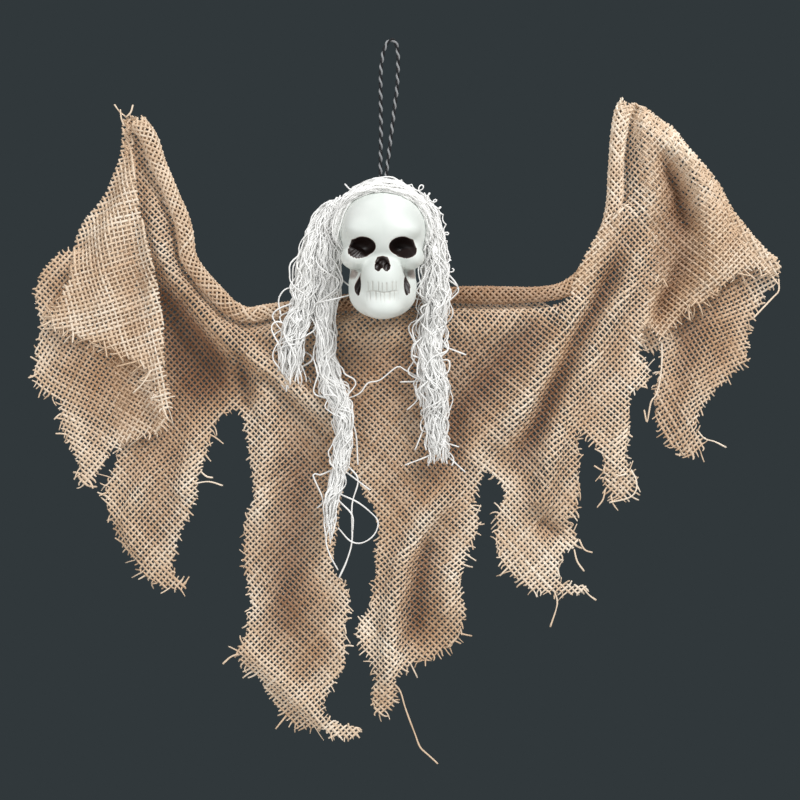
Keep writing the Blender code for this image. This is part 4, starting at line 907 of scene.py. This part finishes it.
# Masses and hollows: whether both sides have one, its centre, its radii, and how softly it joins on.
SKULL_MASSES = {
    "brow": (True, (8.5, -19.0, -1.0), (9.0, 6.5, 4.5), 5.0),
    "cheekbone": (True, (14.2, -15.5, -14.0), (6.4, 8.0, 6.0), 5.0),
    "upper jaw": (False, (0.0, -17.5, -24.5), (10.5, 9.5, 12.0), 3.0),
    "lower jaw": (False, (0.0, -11.5, -31.5), (16.5, 12.0, 12.5), 2.5),
    "jaw branch": (True, (13.8, -7.0, -23.5), (3.2, 5.5, 10.0), 3.0),
    "chin": (False, (0.0, -19.5, -39.0), (8.5, 6.0, 5.2), 4.0),
    "base": (False, (0.0, 5.0, -24.0), (9.0, 8.0, 9.5), 4.0),
}
JAW_CORNER = (True, (24.0, -10.0, -21.0), (8.0, 9.0, 4.0), 3.0)
SKULL_HOLLOWS = {
    "eye socket": (True, (10.4, -27.0, -9.5), (7.2, 10.0, 5.0), 0.8),
    "nose": (False, (0.0, -29.0, -16.2), (3.3, 7.0, 2.8), 0.8),
    "nostril": (True, (2.1, -29.0, -18.4), (1.8, 7.0, 2.4), 0.6),
    "cheek slit": (True, (11.8, -22.0, -27.0), (1.1, 10.0, 4.8), 1.0),
}
# The outlines that the paint fills, seen from the front: whether both sides have it, then its edge.
PAINTED = [
    (True, [(15, -5.6), (11.5, -4.8), (7.8, -4.9), (5, -6.6), (3.9, -8.9), (5, -11.6), (7.5, -13.7),
            (10.4, -14.5), (13.4, -13.9), (15.5, -12.2), (16.3, -9)]),
    (False, [(-2.4, -14.2), (0.1, -13.7), (2.5, -14.2), (3.5, -16.8), (3.3, -19.6), (2.3, -20.7),
             (1, -20.3), (0.1, -18.9), (-0.9, -20.1), (-2.2, -20.5), (-3.4, -19.2), (-3.5, -16.8)]),
    (True, [(12.9, -23.4), (11.5, -24.4), (10.9, -27.5), (11.3, -30.8), (12.2, -31.6), (13, -29),
            (13.4, -25.8)]),
]
PAINT_EDGE = (-0.25, 0.25)
HOLLOW_EDGE = (0.35, 0.05)  # how far off a hollow its paint ends, and where it is full
STEEP_STEP = 1.2  # where the surface steps further than this it is a hollow's wall, painted to the rim
RIM_PAINT = 0.5
STAIN = (True, (15.2, -13.0, -22.0), (3.6, 7.0, 2.6), 1.0)
STAIN_EDGE = (1.0, -1.0)
STAIN_SHARE = 0.3
PAINT_SHOWS = (0.12, 0.4)  # how thick the paint is where it starts to show, and where it hides the plastic
PLASTIC_ROUGHNESS = 0.5
PAINT_ROUGHNESS = 0.42
PLASTIC_CLOUD = 50 / 3
GROOVE_SHADE = "#A08C7C"
GROOVE_SHARE = 0.28
TOOTH_WIDTH = 2.3
TEETH_SIDES = (9.0, 6.5)  # how far to each side the teeth end, and how far they are in full
TEETH_FRONT = (-14.0, -20.0)
TOOTH_SWAY = ((0.35, 0.9, 0.4), (0.4, 0.55, 1.0))  # across and up: how far, how often, and from where
ROW_EDGE = (0.4, 0.6)
UPPER_TEETH = (-26.6, -31.4)
LOWER_TEETH = (-31.4, -35.8)
GROOVE_WIDTH = 0.3
GROOVE_DEPTH = 0.45


def ellipsoid(p, centre, radii):
    """Distance from each place to a rounded mass, negative inside it."""
    q = p - np.asarray(centre)
    radii = np.asarray(radii)
    k0 = np.linalg.norm(q / radii, axis=1)
    k1 = np.linalg.norm(q / radii**2, axis=1) + 1e-9
    return k0 * (k0 - 1.0) / k1


def join(a, b, blend):
    """Distance to the nearer of two masses, with the crease between them filled softly."""
    h = np.maximum(blend - np.abs(a - b), 0.0) / blend
    return np.minimum(a, b) - h * h * blend / 4.0


def mass_distance(p, mass):
    """Distance to one mass or hollow, or to the nearer of the pair."""
    both_sides, centre, radii, _ = mass
    side = np.column_stack([np.abs(p[:, 0]), p[:, 1:]]) if both_sides else p
    return ellipsoid(side, centre, radii)


def hem_gap(p):
    """Distance to the hollow behind the jaw that the rolled hem passes through."""
    x = p[:, 0] + SKULL_CENTRE[0]
    route = np.asarray(ROLL_ROUTE)[SEAT_INDEXES]
    level = np.interp(x, route[:, 0], route[:, 1]) - SKULL_CENTRE[2]
    return np.hypot(p[:, 1] + SKULL_CENTRE[1] - ROLL_DEPTH, p[:, 2] - level) - SEAT_RADIUS


def skull_distance(p):
    """Distance-like function of the skull about its own centre, negative inside."""
    body = ellipsoid(p, (0.0, 0.0, 0.0), CRANIUM)
    for mass in SKULL_MASSES.values():
        body = join(body, mass_distance(p, mass), mass[3])
    body = -join(-body, mass_distance(p, JAW_CORNER), JAW_CORNER[3])
    for hollow in SKULL_HOLLOWS.values():
        body = -join(-body, mass_distance(p, hollow), hollow[3])
    return np.maximum(body, -hem_gap(p))


def skull_radius(directions):
    """How far the skull's surface is from its centre in each direction."""
    far = np.full(len(directions), SKULL_REACH)
    found = np.zeros(len(directions), bool)
    while not found.all():
        waiting = ~found
        value = skull_distance(directions[waiting] * far[waiting, None])
        found[np.flatnonzero(waiting)[value < 0.0]] = True
        far[~found] -= SURFACE_STEP
    low, high = far, far + SURFACE_STEP
    for _ in range(SURFACE_ROUNDS):
        middle = (low + high) / 2
        inside = skull_distance(directions * middle[:, None]) < 0.0
        low = np.where(inside, middle, low)
        high = np.where(inside, high, middle)
    return (low + high) / 2


def tooth_grooves(p):
    """How deep each place lies in a groove between two teeth or between their rows, from 0 to 1."""
    ways = zip((0, 2), TOOTH_SWAY)
    x, z = [p[:, i] + far * np.sin(often * p[:, 0] + start) for i, (far, often, start) in ways]
    front = smooth_step(*TEETH_FRONT, p[:, 1]) * smooth_step(*TEETH_SIDES, np.abs(x))
    total = np.exp(-(((z - UPPER_TEETH[1]) / GROOVE_WIDTH) ** 2))
    for (top, bottom), shift in ((UPPER_TEETH, 0.0), (LOWER_TEETH, 0.5)):
        off = np.abs((x / TOOTH_WIDTH + shift) % 1.0 - 0.5) * TOOTH_WIDTH
        gap = TOOTH_WIDTH / 2 - off
        rows = smooth_step(top + ROW_EDGE[0], top - ROW_EDGE[1], z)
        rows = rows * smooth_step(bottom - ROW_EDGE[0], bottom + ROW_EDGE[1], z)
        total = np.maximum(total, rows * np.exp(-((gap / GROOVE_WIDTH) ** 2)))
    return total * front


def skull_mesh():
    """The skull, finer in the face, with how thick the paint lies and how deep the grooves are."""
    bm = bmesh.new()
    bmesh.ops.create_icosphere(bm, subdivisions=SKULL_CUTS, radius=1.0)
    for vertex in bm.verts:
        vertex.co = (vertex.co + Vector(FACE_BIAS)).normalized()
    for low, high, cuts in FACE_CUTS:
        part = {v for v in bm.verts if all(a < c < b for a, c, b in zip(low, v.co, high))}
        edges = [edge for edge in bm.edges if part.issuperset(edge.verts)]
        bmesh.ops.subdivide_edges(bm, edges=edges, cuts=cuts, use_grid_fill=True)
        for vertex in bm.verts:
            vertex.co.normalize()
    directions = np.array([v.co[:] for v in bm.verts])
    places = directions * skull_radius(directions)[:, None]
    grooves = tooth_grooves(places)
    places -= directions * (GROOVE_DEPTH * grooves)[:, None]
    for vertex, place in zip(bm.verts, (places + np.asarray(SKULL_CENTRE)) * MM):
        vertex.co = place
    mesh = bpy.data.meshes.new("moulded_skull")
    bm.to_mesh(mesh)
    bm.free()
    paint = STAIN_SHARE * smooth_step(*STAIN_EDGE, mass_distance(places, STAIN))
    front = places[:, 1] < 0.0
    for both_sides, edge in PAINTED:
        across = np.abs(places[:, 0]) if both_sides else places[:, 0]
        covered = smooth_step(*PAINT_EDGE, inside_outline(across, places[:, 2], edge))
        paint = np.maximum(paint, front * covered)
    for hollow in SKULL_HOLLOWS.values():
        paint = np.maximum(paint, smooth_step(*HOLLOW_EDGE, mass_distance(places, hollow)))
    ends = np.array([edge.vertices[:] for edge in mesh.edges])
    steep = np.linalg.norm(places[ends[:, 0]] - places[ends[:, 1]], axis=1) > STEEP_STEP
    deep = ends[steep & (paint[ends].max(axis=1) > RIM_PAINT)]
    paint[deep.ravel()] = 1.0
    set_values(mesh, "paint", paint)
    set_values(mesh, "groove", grooves)
    mesh.shade_smooth()
    return mesh


def skull_material():
    """Moulded off-white plastic: even, faintly green, with a soft sheen, and glossy paint in its hollows."""
    made, tree, shader, place = new_material("moulded_offwhite_plastic", PLASTIC_ROUGHNESS)
    paint = mesh_value(tree, "paint")
    plastic = ramp_colour(tree, noise(tree, place, PLASTIC_CLOUD), [(0.35, "#D9DFDA"), (0.7, "#E6EAE6")])
    groove = {0: mesh_value(tree, "groove"), 1: GROOVE_SHARE}
    shaded = add_node(tree, "ShaderNodeMath", groove, operation="MULTIPLY").outputs[0]
    washed = mix_colours(tree, shaded, plastic, linear(GROOVE_SHADE))
    painted = ramp_colour(tree, paint, [(0.0, "#8A6250"), (0.55, "#4A241A"), (0.9, "#1C0E0B")])
    shares = {"Value": paint, "From Min": PAINT_SHOWS[0], "From Max": PAINT_SHOWS[1]}
    share = add_node(tree, "ShaderNodeMapRange", shares).outputs["Result"]
    tree.links.new(mix_colours(tree, share, washed, painted), shader.inputs["Base Color"])
    sheens = {"Value": paint, "To Min": PLASTIC_ROUGHNESS, "To Max": PAINT_ROUGHNESS}
    sheen = add_node(tree, "ShaderNodeMapRange", sheens).outputs["Result"]
    tree.links.new(sheen, shader.inputs["Roughness"])
    return made


skull = add_piece("moulded_skull", skull_mesh(), skull_material())
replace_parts(skull, "skull")

# The hair
# Bundles of thin bleached cotton yarn, combed out of loose gauze so that it keeps its crinkle. They are laid
# over the crown from side to side, glued there, and left to hang in locks with stray loops and ends.
YARN_RADIUS = 0.38
YARN_STEP = 1.6
YARN_FIBRE = 1 / 1.6
YARN_UNEVENNESS = 0.15
YARN_UNEVEN_EVERY = 3
YARN_LIMITS = (0.6, 1.4)
CRINKLE_EVERY = (3, 5)
YARN_CLEARANCE = 0.5
LOOSE_SHARE = 0.24  # of a lock's yarns, how many stray well outside it
LOOSE_SPREAD = 0.5
LOOSE_FROM = (0.0, 0.35)  # how far down a lock its loose yarns start to stray, and where they do so fully
LOCK_FLATNESS = 0.78
LEAST_REACH = 0.8
ROOT_SCATTER = 4  # yarns start late by fewer points of their lock than this
END_SCATTER = (0.22, 0.75)  # how much of a lock's length its yarns usually end early by, and at most
LOCK_SPREAD = (0.85, 1.1)
LOCK_TWIST = (0.9, 9)  # how far each yarn winds round its lock, and over about how many points
LOCK_DRIFT = (0.24, 6)  # how far it drifts in or out, likewise
DRIFT_LIMIT = 1.15
LOCK_CRINKLE = (0.2, 0.55)
HAIR_LAYERS = (0.4, 2.6)
CROWN_CRINKLE = (0.2, 0.5)
CROWN_CLEARANCE = 0.4
STRAY_CLEARANCE = 0.8
CROWN_REACH_DEG = 98.0
CROWN_SCATTER_DEG = 8
CROWN_SWAY_DEG = 3.5
CROWN_SWAY_EVERY = 7
CROWN_STEP_DEG = 3.6
CROWN_FRONT_DEG = -45.0
TEMPLE_LIFT_DEG = 24.0  # how much further back the front of the hair is at the temples
CROWN_BACK_DEG = 68.0
CROWN_YARNS = 300
CURL_DEPTH = -5.0
CURL_STEP = 0.45
CURL_SPACING = 4.6
CURL_SIZE = 1.3
CURL_FLATNESS = 0.4
CURL_SWAY = (0.8, 10)  # how uneven the loops are in turn and then in size, and over how many points
CURL_UNEVENNESS = (0.5, 12)
CURL_LIMITS = (0.4, 1.8)
CURL_TONE = 0.8
CURL_THINNESS = 0.9
CURLED_YARN = [
    (4, -71), (9, -72), (14.5, -74.2), (19.5, -78.4), (23.6, -84), (26.2, -91), (26.8, -98.5),
    (27.8, -107), (29, -115),
]
CORE_YARNS = 14  # thick yarns that fill the middle of a lock
CORE_RADIUS = 0.9
CORE_SHARE = 0.7
CORE_SPREAD = 0.55
CORE_CRINKLE = 0.2
CORE_CLEARANCE = 1.0
CORE_REACH = 4.0  # a lock this wide to each side has core yarns of their full thickness
CORE_LIMITS = (0.4, 1.2)
# Stations down each lock: its place, and how far the lock reaches to each side there.
LEFT_OUTER_LOCK = [
    (-24.5, -2, -81.5, 3), (-31, -2.5, -85.5, 4), (-36, -3, -93, 4.2), (-39.5, -3.5, -101.5, 4.5),
    (-41.5, -3.5, -110, 5), (-42.5, -3, -120, 5.5), (-43.5, -2.5, -129, 6), (-46.5, -2.2, -139, 5.8),
    (-49.5, -1.8, -149, 5.6), (-50.5, -1.5, -158, 5.8), (-50.5, -1, -166, 6), (-50, -0.5, -173, 6.5),
]
LEFT_INNER_LOCK = [
    (-23.5, -4, -79, 3.5), (-27, -5, -86.5, 4.5), (-30, -5.5, -96.5, 5), (-31.5, -5.5, -108, 5.2),
    (-31.5, -4.5, -119, 5.2), (-32, -3, -129, 4.5), (-33, -1.8, -141.5, 4), (-32.5, -1.5, -156.5, 4),
    (-30.5, -1.5, -169, 4.7), (-26.5, -2.5, -179, 4.7), (-23.5, -3, -189, 4), (-24, -2, -200.5, 3.3),
    (-25.5, -1, -210.5, 3.3), (-28.5, -0.5, -222.5, 3), (-30.5, -0.5, -235, 3.2), (-30.5, -0.5, -250, 2),
]
RIGHT_LOCK = [
    (13.5, -4, -79, 3.5), (18.3, -4.5, -87, 4.3), (20.8, -5, -99, 4.6), (22, -5.5, -110, 5.3),
    (21.5, -5, -121.5, 6), (22, -3.5, -131.5, 6.3), (20, -2.5, -144, 5.5), (19.5, -2, -156.5, 5.2),
    (21, -2, -169, 6), (22, -2, -179, 6.2), (22, -1.5, -189, 5.2), (22.5, -1, -199, 5),
    (23, -0.5, -211, 5.5),
]
# Stray yarns: depth, then the line that each follows.
LEFT_STRAYS = [
    (-3, [(-45, -118), (-47.5, -122), (-53.5, -124), (-56.5, -129), (-55.5, -136.5)]),
    (-3, [(-48, -143), (-52, -141.5), (-57.5, -140), (-60, -144), (-53.5, -156.5)]),
    (-4, [(-41, -136.5), (-38, -143), (-43.5, -147.5)]),
    (-4, [(-34, -155), (-36, -164), (-39, -175), (-33.5, -178)]),
    (0, [(-28, -176), (-22.5, -178), (-16, -175.5), (-12, -170.5), (-6, -169), (2.5, -162.5),
         (6.5, -164), (14, -168)]),
    (0, [(-25, -182), (-23.5, -186.5), (-18.5, -194), (-17, -211.5)]),
    (0, [(-28, -211), (-24.5, -214), (-21, -216.5), (-11, -224)]),
    (0, [(-30, -214), (-36, -216.5), (-39.5, -216.5), (-34.5, -229), (-37.5, -233)]),
    (1, [(-29, -223), (-26, -226), (-17.5, -230), (-11, -235), (-7, -240), (-9, -246.5), (-15, -250.5),
         (-21, -249.5), (-27, -243)]),
    (1, [(-29, -226), (-26, -230), (-20, -236.5), (-19.5, -244)]),
    (1, [(-22, -212), (-17, -219), (-20, -231.5), (-20, -249), (-22.5, -259), (-26.5, -268)]),
    (0, [(-31, -240), (-33, -249), (-31, -256.5), (-27, -264)]),
]
RIGHT_STRAYS = [
    (0, [(17, -168), (14, -169.5), (4, -170)]),
    (0, [(17, -169), (14, -171.5), (12.5, -179), (7.5, -184)]),
    (-4, [(17, -160), (14, -158), (10, -156.5), (10.5, -151.5), (14, -149)]),
    (-2, [(22, -149), (24.5, -151.5), (37, -156.5)]),
    (-3, [(22, -158), (24.5, -159), (28.5, -159.5), (28, -165), (23, -167)]),
    (-1, [(21, -197), (23, -199), (33.5, -202.5)]),
    (-1, [(18, -186), (16.5, -191.5), (11.5, -204)]),
    (-1, [(21, -203), (19, -206.5), (6.5, -211.5)]),
    (-1, [(25, -204), (29, -208), (36.5, -215)]),
]
CROWN_STRAYS = [
    (-6, [(9, -74), (13, -75), (16, -77.5), (13.5, -79.5)]),
    (-5, [(14, -76.5), (18, -80), (20, -83.5), (16, -83)]),
    (-5, [(18, -81), (22, -84), (23.5, -88), (19.5, -88)]),
    (-16, [(-12, -77), (-18, -80.5), (-22.5, -86.5), (-25.5, -93), (-27.5, -101.5)]),
    (-8, [(-20, -77), (-27, -83), (-31, -80), (-33, -84)]),
    (-6, [(-14, -73), (-20, -74.5), (-23.5, -71.5)]),
]
HAIR_SEED = 70
SIDE_STRAY_SEED = 71
CROWN_STRAY_SEED = 72
# Each bundle's locks, and how many yarns each lock has.
HAIR_BUNDLES = {
    "hair_left": [(LEFT_OUTER_LOCK, 140), (LEFT_INNER_LOCK, 120)],
    "hair_right": [(RIGHT_LOCK, 210)],
}


def off_the_head(points, clearance):
    """Moves whatever of a yarn would lie in the cranium out to its surface."""
    centre = np.asarray(SKULL_CENTRE)
    radii = np.asarray(CRANIUM) + clearance
    q = points - centre
    depth = np.linalg.norm(q / radii, axis=1, keepdims=True)
    return centre + q / np.minimum(np.maximum(depth, 1e-6), 1.0)


def crinkle(rng, count, size):
    """The small sideways bends that a yarn keeps from the gauze it was pulled out of."""
    bends = [sum(wander(rng, count, every) for every in CRINKLE_EVERY) for _ in range(3)]
    return size * np.stack(bends, axis=1)


def yarn_radii(rng, count):
    """The radius of a yarn at each of its points, a little uneven as it is spun."""
    return YARN_RADIUS * np.clip(1 + YARN_UNEVENNESS * wander(rng, count, YARN_UNEVEN_EVERY), *YARN_LIMITS)


def lock_yarns(stations, count, rng):
    """Yarns that run down a lock together, drifting across it, with their ends let out one by one."""
    line = smooth_line(stations, YARN_STEP)
    route = line[:, :3]
    reach = np.maximum(line[:, 3], LEAST_REACH)
    count_along = len(route)
    tangents = unit(np.gradient(route, axis=0))
    side = unit(np.cross(tangents, [0.0, 1.0, 0.0]))
    back = unit(np.cross(side, tangents))
    strands = []
    for _ in range(CORE_YARNS):
        turn = rng.uniform(0, 2 * math.pi)
        share = CORE_SPREAD * math.sqrt(rng.uniform())
        way = side * math.cos(turn) + back * LOCK_FLATNESS * math.sin(turn)
        points = route + way * (reach * share)[:, None]
        points = off_the_head(points + crinkle(rng, count_along, CORE_CRINKLE), CORE_CLEARANCE)
        points = points[: int(CORE_SHARE * count_along)]
        radii = CORE_RADIUS * np.clip(reach[: len(points)] / CORE_REACH, *CORE_LIMITS)
        strands.append((points, radii, rng.uniform()))
    low_down = smooth_step(*LOOSE_FROM, np.linspace(0.0, 1.0, count_along))
    for _ in range(count):
        first = int(rng.integers(0, ROOT_SCATTER))
        early = min(abs(rng.normal(0, END_SCATTER[0])), END_SCATTER[1])
        last = count_along - int(early * count_along)
        spread = math.sqrt(rng.uniform()) * rng.uniform(*LOCK_SPREAD)
        turn = rng.uniform(0, 2 * math.pi) + LOCK_TWIST[0] * wander(rng, count_along, LOCK_TWIST[1])
        drift = LOCK_DRIFT[0] * wander(rng, count_along, LOCK_DRIFT[1])
        share = np.clip(spread + drift, -DRIFT_LIMIT, DRIFT_LIMIT)
        if rng.uniform() < LOOSE_SHARE:
            share = share * (1 + LOOSE_SPREAD * low_down * np.abs(wander(rng, count_along, LOCK_DRIFT[1])))
        points = route + side * (reach * share * np.cos(turn))[:, None]
        points += back * (reach * share * LOCK_FLATNESS * np.sin(turn))[:, None]
        points += crinkle(rng, count_along, rng.uniform(*LOCK_CRINKLE))
        points = off_the_head(points, YARN_CLEARANCE)[first:last]
        strands.append((points, yarn_radii(rng, len(points)), rng.uniform()))
    return strands


def crown_yarns(rng):
    """Yarns laid over the crown from one side to the other, in a few layers."""
    strands = []
    for _ in range(CROWN_YARNS):
        ends = CROWN_REACH_DEG + rng.normal(0, CROWN_SCATTER_DEG, 2)
        a = np.radians(np.arange(-ends[0], ends[1], CROWN_STEP_DEG))
        b_deg = rng.uniform(CROWN_FRONT_DEG, CROWN_BACK_DEG)
        b_deg = b_deg + CROWN_SWAY_DEG * wander(rng, len(a), CROWN_SWAY_EVERY)
        b = np.radians(np.maximum(b_deg, CROWN_FRONT_DEG + TEMPLE_LIFT_DEG * np.sin(a) ** 2))
        way = np.stack([np.sin(a) * np.cos(b), np.sin(b), np.cos(a) * np.cos(b)], axis=1)
        radii = np.asarray(CRANIUM) + rng.uniform(*HAIR_LAYERS)
        points = np.asarray(SKULL_CENTRE) + way / np.linalg.norm(way / radii, axis=1, keepdims=True)
        points = off_the_head(points + crinkle(rng, len(a), rng.uniform(*CROWN_CRINKLE)), CROWN_CLEARANCE)
        strands.append((points, yarn_radii(rng, len(a)), rng.uniform()))
    return strands


def curled_yarn(rng):
    """One yarn that runs down the right side of the hair in small loops."""
    route = smooth_line([(x, CURL_DEPTH, z) for x, z in CURLED_YARN], CURL_STEP)
    turn = 2 * math.pi * CURL_STEP / CURL_SPACING * np.arange(len(route))
    turn = turn + CURL_SWAY[0] * wander(rng, len(route), CURL_SWAY[1])
    uneven = CURL_UNEVENNESS[0] * wander(rng, len(route), CURL_UNEVENNESS[1])
    size = CURL_SIZE * np.clip(1 + uneven, *CURL_LIMITS)
    loops = np.stack([size * np.cos(turn), CURL_FLATNESS * np.sin(turn), size * np.sin(turn)], axis=1)
    return [(route + loops, CURL_THINNESS * YARN_RADIUS, CURL_TONE)]


# Bleached cotton yarn, carded and loosely spun: pure white, matt, a little fuzzy.
yarn = spun_cotton("bleached_cotton_yarn", "#F0F0EE", "#FCFCFA", YARN_FIBRE)
hair_rng = np.random.default_rng(HAIR_SEED)
strays = {"hair_left": LEFT_STRAYS, "hair_right": RIGHT_STRAYS}
for name, locks in HAIR_BUNDLES.items():
    strands = loose_strands(strays[name], YARN_RADIUS, SIDE_STRAY_SEED)
    for stations, count in locks:
        strands += lock_yarns(stations, count, hair_rng)
    piece_name = name.replace("hair", "yarn_hair")
    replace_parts(add_piece(piece_name, strands_mesh(piece_name, strands), yarn), name)
crown = crown_yarns(hair_rng) + curled_yarn(hair_rng)
for points, radii, tone in loose_strands(CROWN_STRAYS, YARN_RADIUS, CROWN_STRAY_SEED):
    crown.append((off_the_head(points, STRAY_CLEARANCE), radii, tone))
crown_mesh = strands_mesh("yarn_hair_crown", crown)
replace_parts(add_piece("yarn_hair_crown", crown_mesh, yarn), "hair_crown")

# The floor and the light
# A plain pale floor well below the ornament, and soft studio light: a large key lamp high on the right,
# weaker ones on the left and above, and an even glow. What is behind the ornament is a plain dark grey.
FLOOR_LEVEL = -620.0
FLOOR_RADIUS = 650.0
FLOOR_SIDES = 96
FLOOR_COLOUR = "#DAD8D4"
FLOOR_ROUGHNESS = 0.8
BACKDROP = "#31383B"
AMBIENT = 0.45
# Each lamp: its name, place, width and power in watts.
LAMPS = [
    ("key_lamp", (700.0, -820.0, 760.0), 450.0, 15.0),
    ("fill_lamp", (-800.0, -1100.0, 150.0), 700.0, 6.0),
    ("top_lamp", (-100.0, 500.0, 900.0), 800.0, 4.0),
]

bm = bmesh.new()
bmesh.ops.create_circle(bm, cap_ends=True, radius=FLOOR_RADIUS * MM, segments=FLOOR_SIDES)
bmesh.ops.translate(bm, vec=(0.0, 0.0, FLOOR_LEVEL * MM), verts=bm.verts)
floor_mesh = bpy.data.meshes.new("floor")
bm.to_mesh(floor_mesh)
bm.free()
floor_material, _, shader, _ = new_material("plain_pale_floor", FLOOR_ROUGHNESS)
shader.inputs["Base Color"].default_value = linear(FLOOR_COLOUR)
floor_mesh.materials.append(floor_material)
floor = bpy.data.objects.new("floor", floor_mesh)
bpy.context.scene.collection.objects.link(floor)

world = bpy.data.worlds.new("studio")
bpy.context.scene.world = world
world.use_nodes = True
world_tree = world.node_tree
glow = world_tree.nodes["Background"]
glow.inputs["Color"].default_value = (1.0, 1.0, 1.0, 1.0)
glow.inputs["Strength"].default_value = AMBIENT
backdrop = add_node(world_tree, "ShaderNodeBackground", {"Color": linear(BACKDROP)})
ray = add_node(world_tree, "ShaderNodeLightPath").outputs
seen = ray["Is Camera Ray"]
for other in ("Is Glossy Ray", "Is Transmission Ray"):
    seen = add_node(world_tree, "ShaderNodeMath", {0: seen, 1: ray[other]}, operation="MAXIMUM").outputs[0]
either = add_node(
    world_tree, "ShaderNodeMixShader",
    {0: seen, 1: glow.outputs["Background"], 2: backdrop.outputs["Background"]},
)
world_tree.links.new(either.outputs["Shader"], world_tree.nodes["World Output"].inputs["Surface"])

target = Vector((VIEW_CENTRE[0], 0.0, VIEW_CENTRE[1])) * MM
for name, place, width, power in LAMPS:
    lamp_data = bpy.data.lights.new(name, "AREA")
    lamp_data.shape = "DISK"
    lamp_data.size = width * MM
    lamp_data.energy = power
    lamp = bpy.data.objects.new(name, lamp_data)
    lamp.location = Vector(place) * MM
    lamp.rotation_euler = (target - lamp.location).to_track_quat("-Z", "Y").to_euler()
    bpy.context.scene.collection.objects.link(lamp)
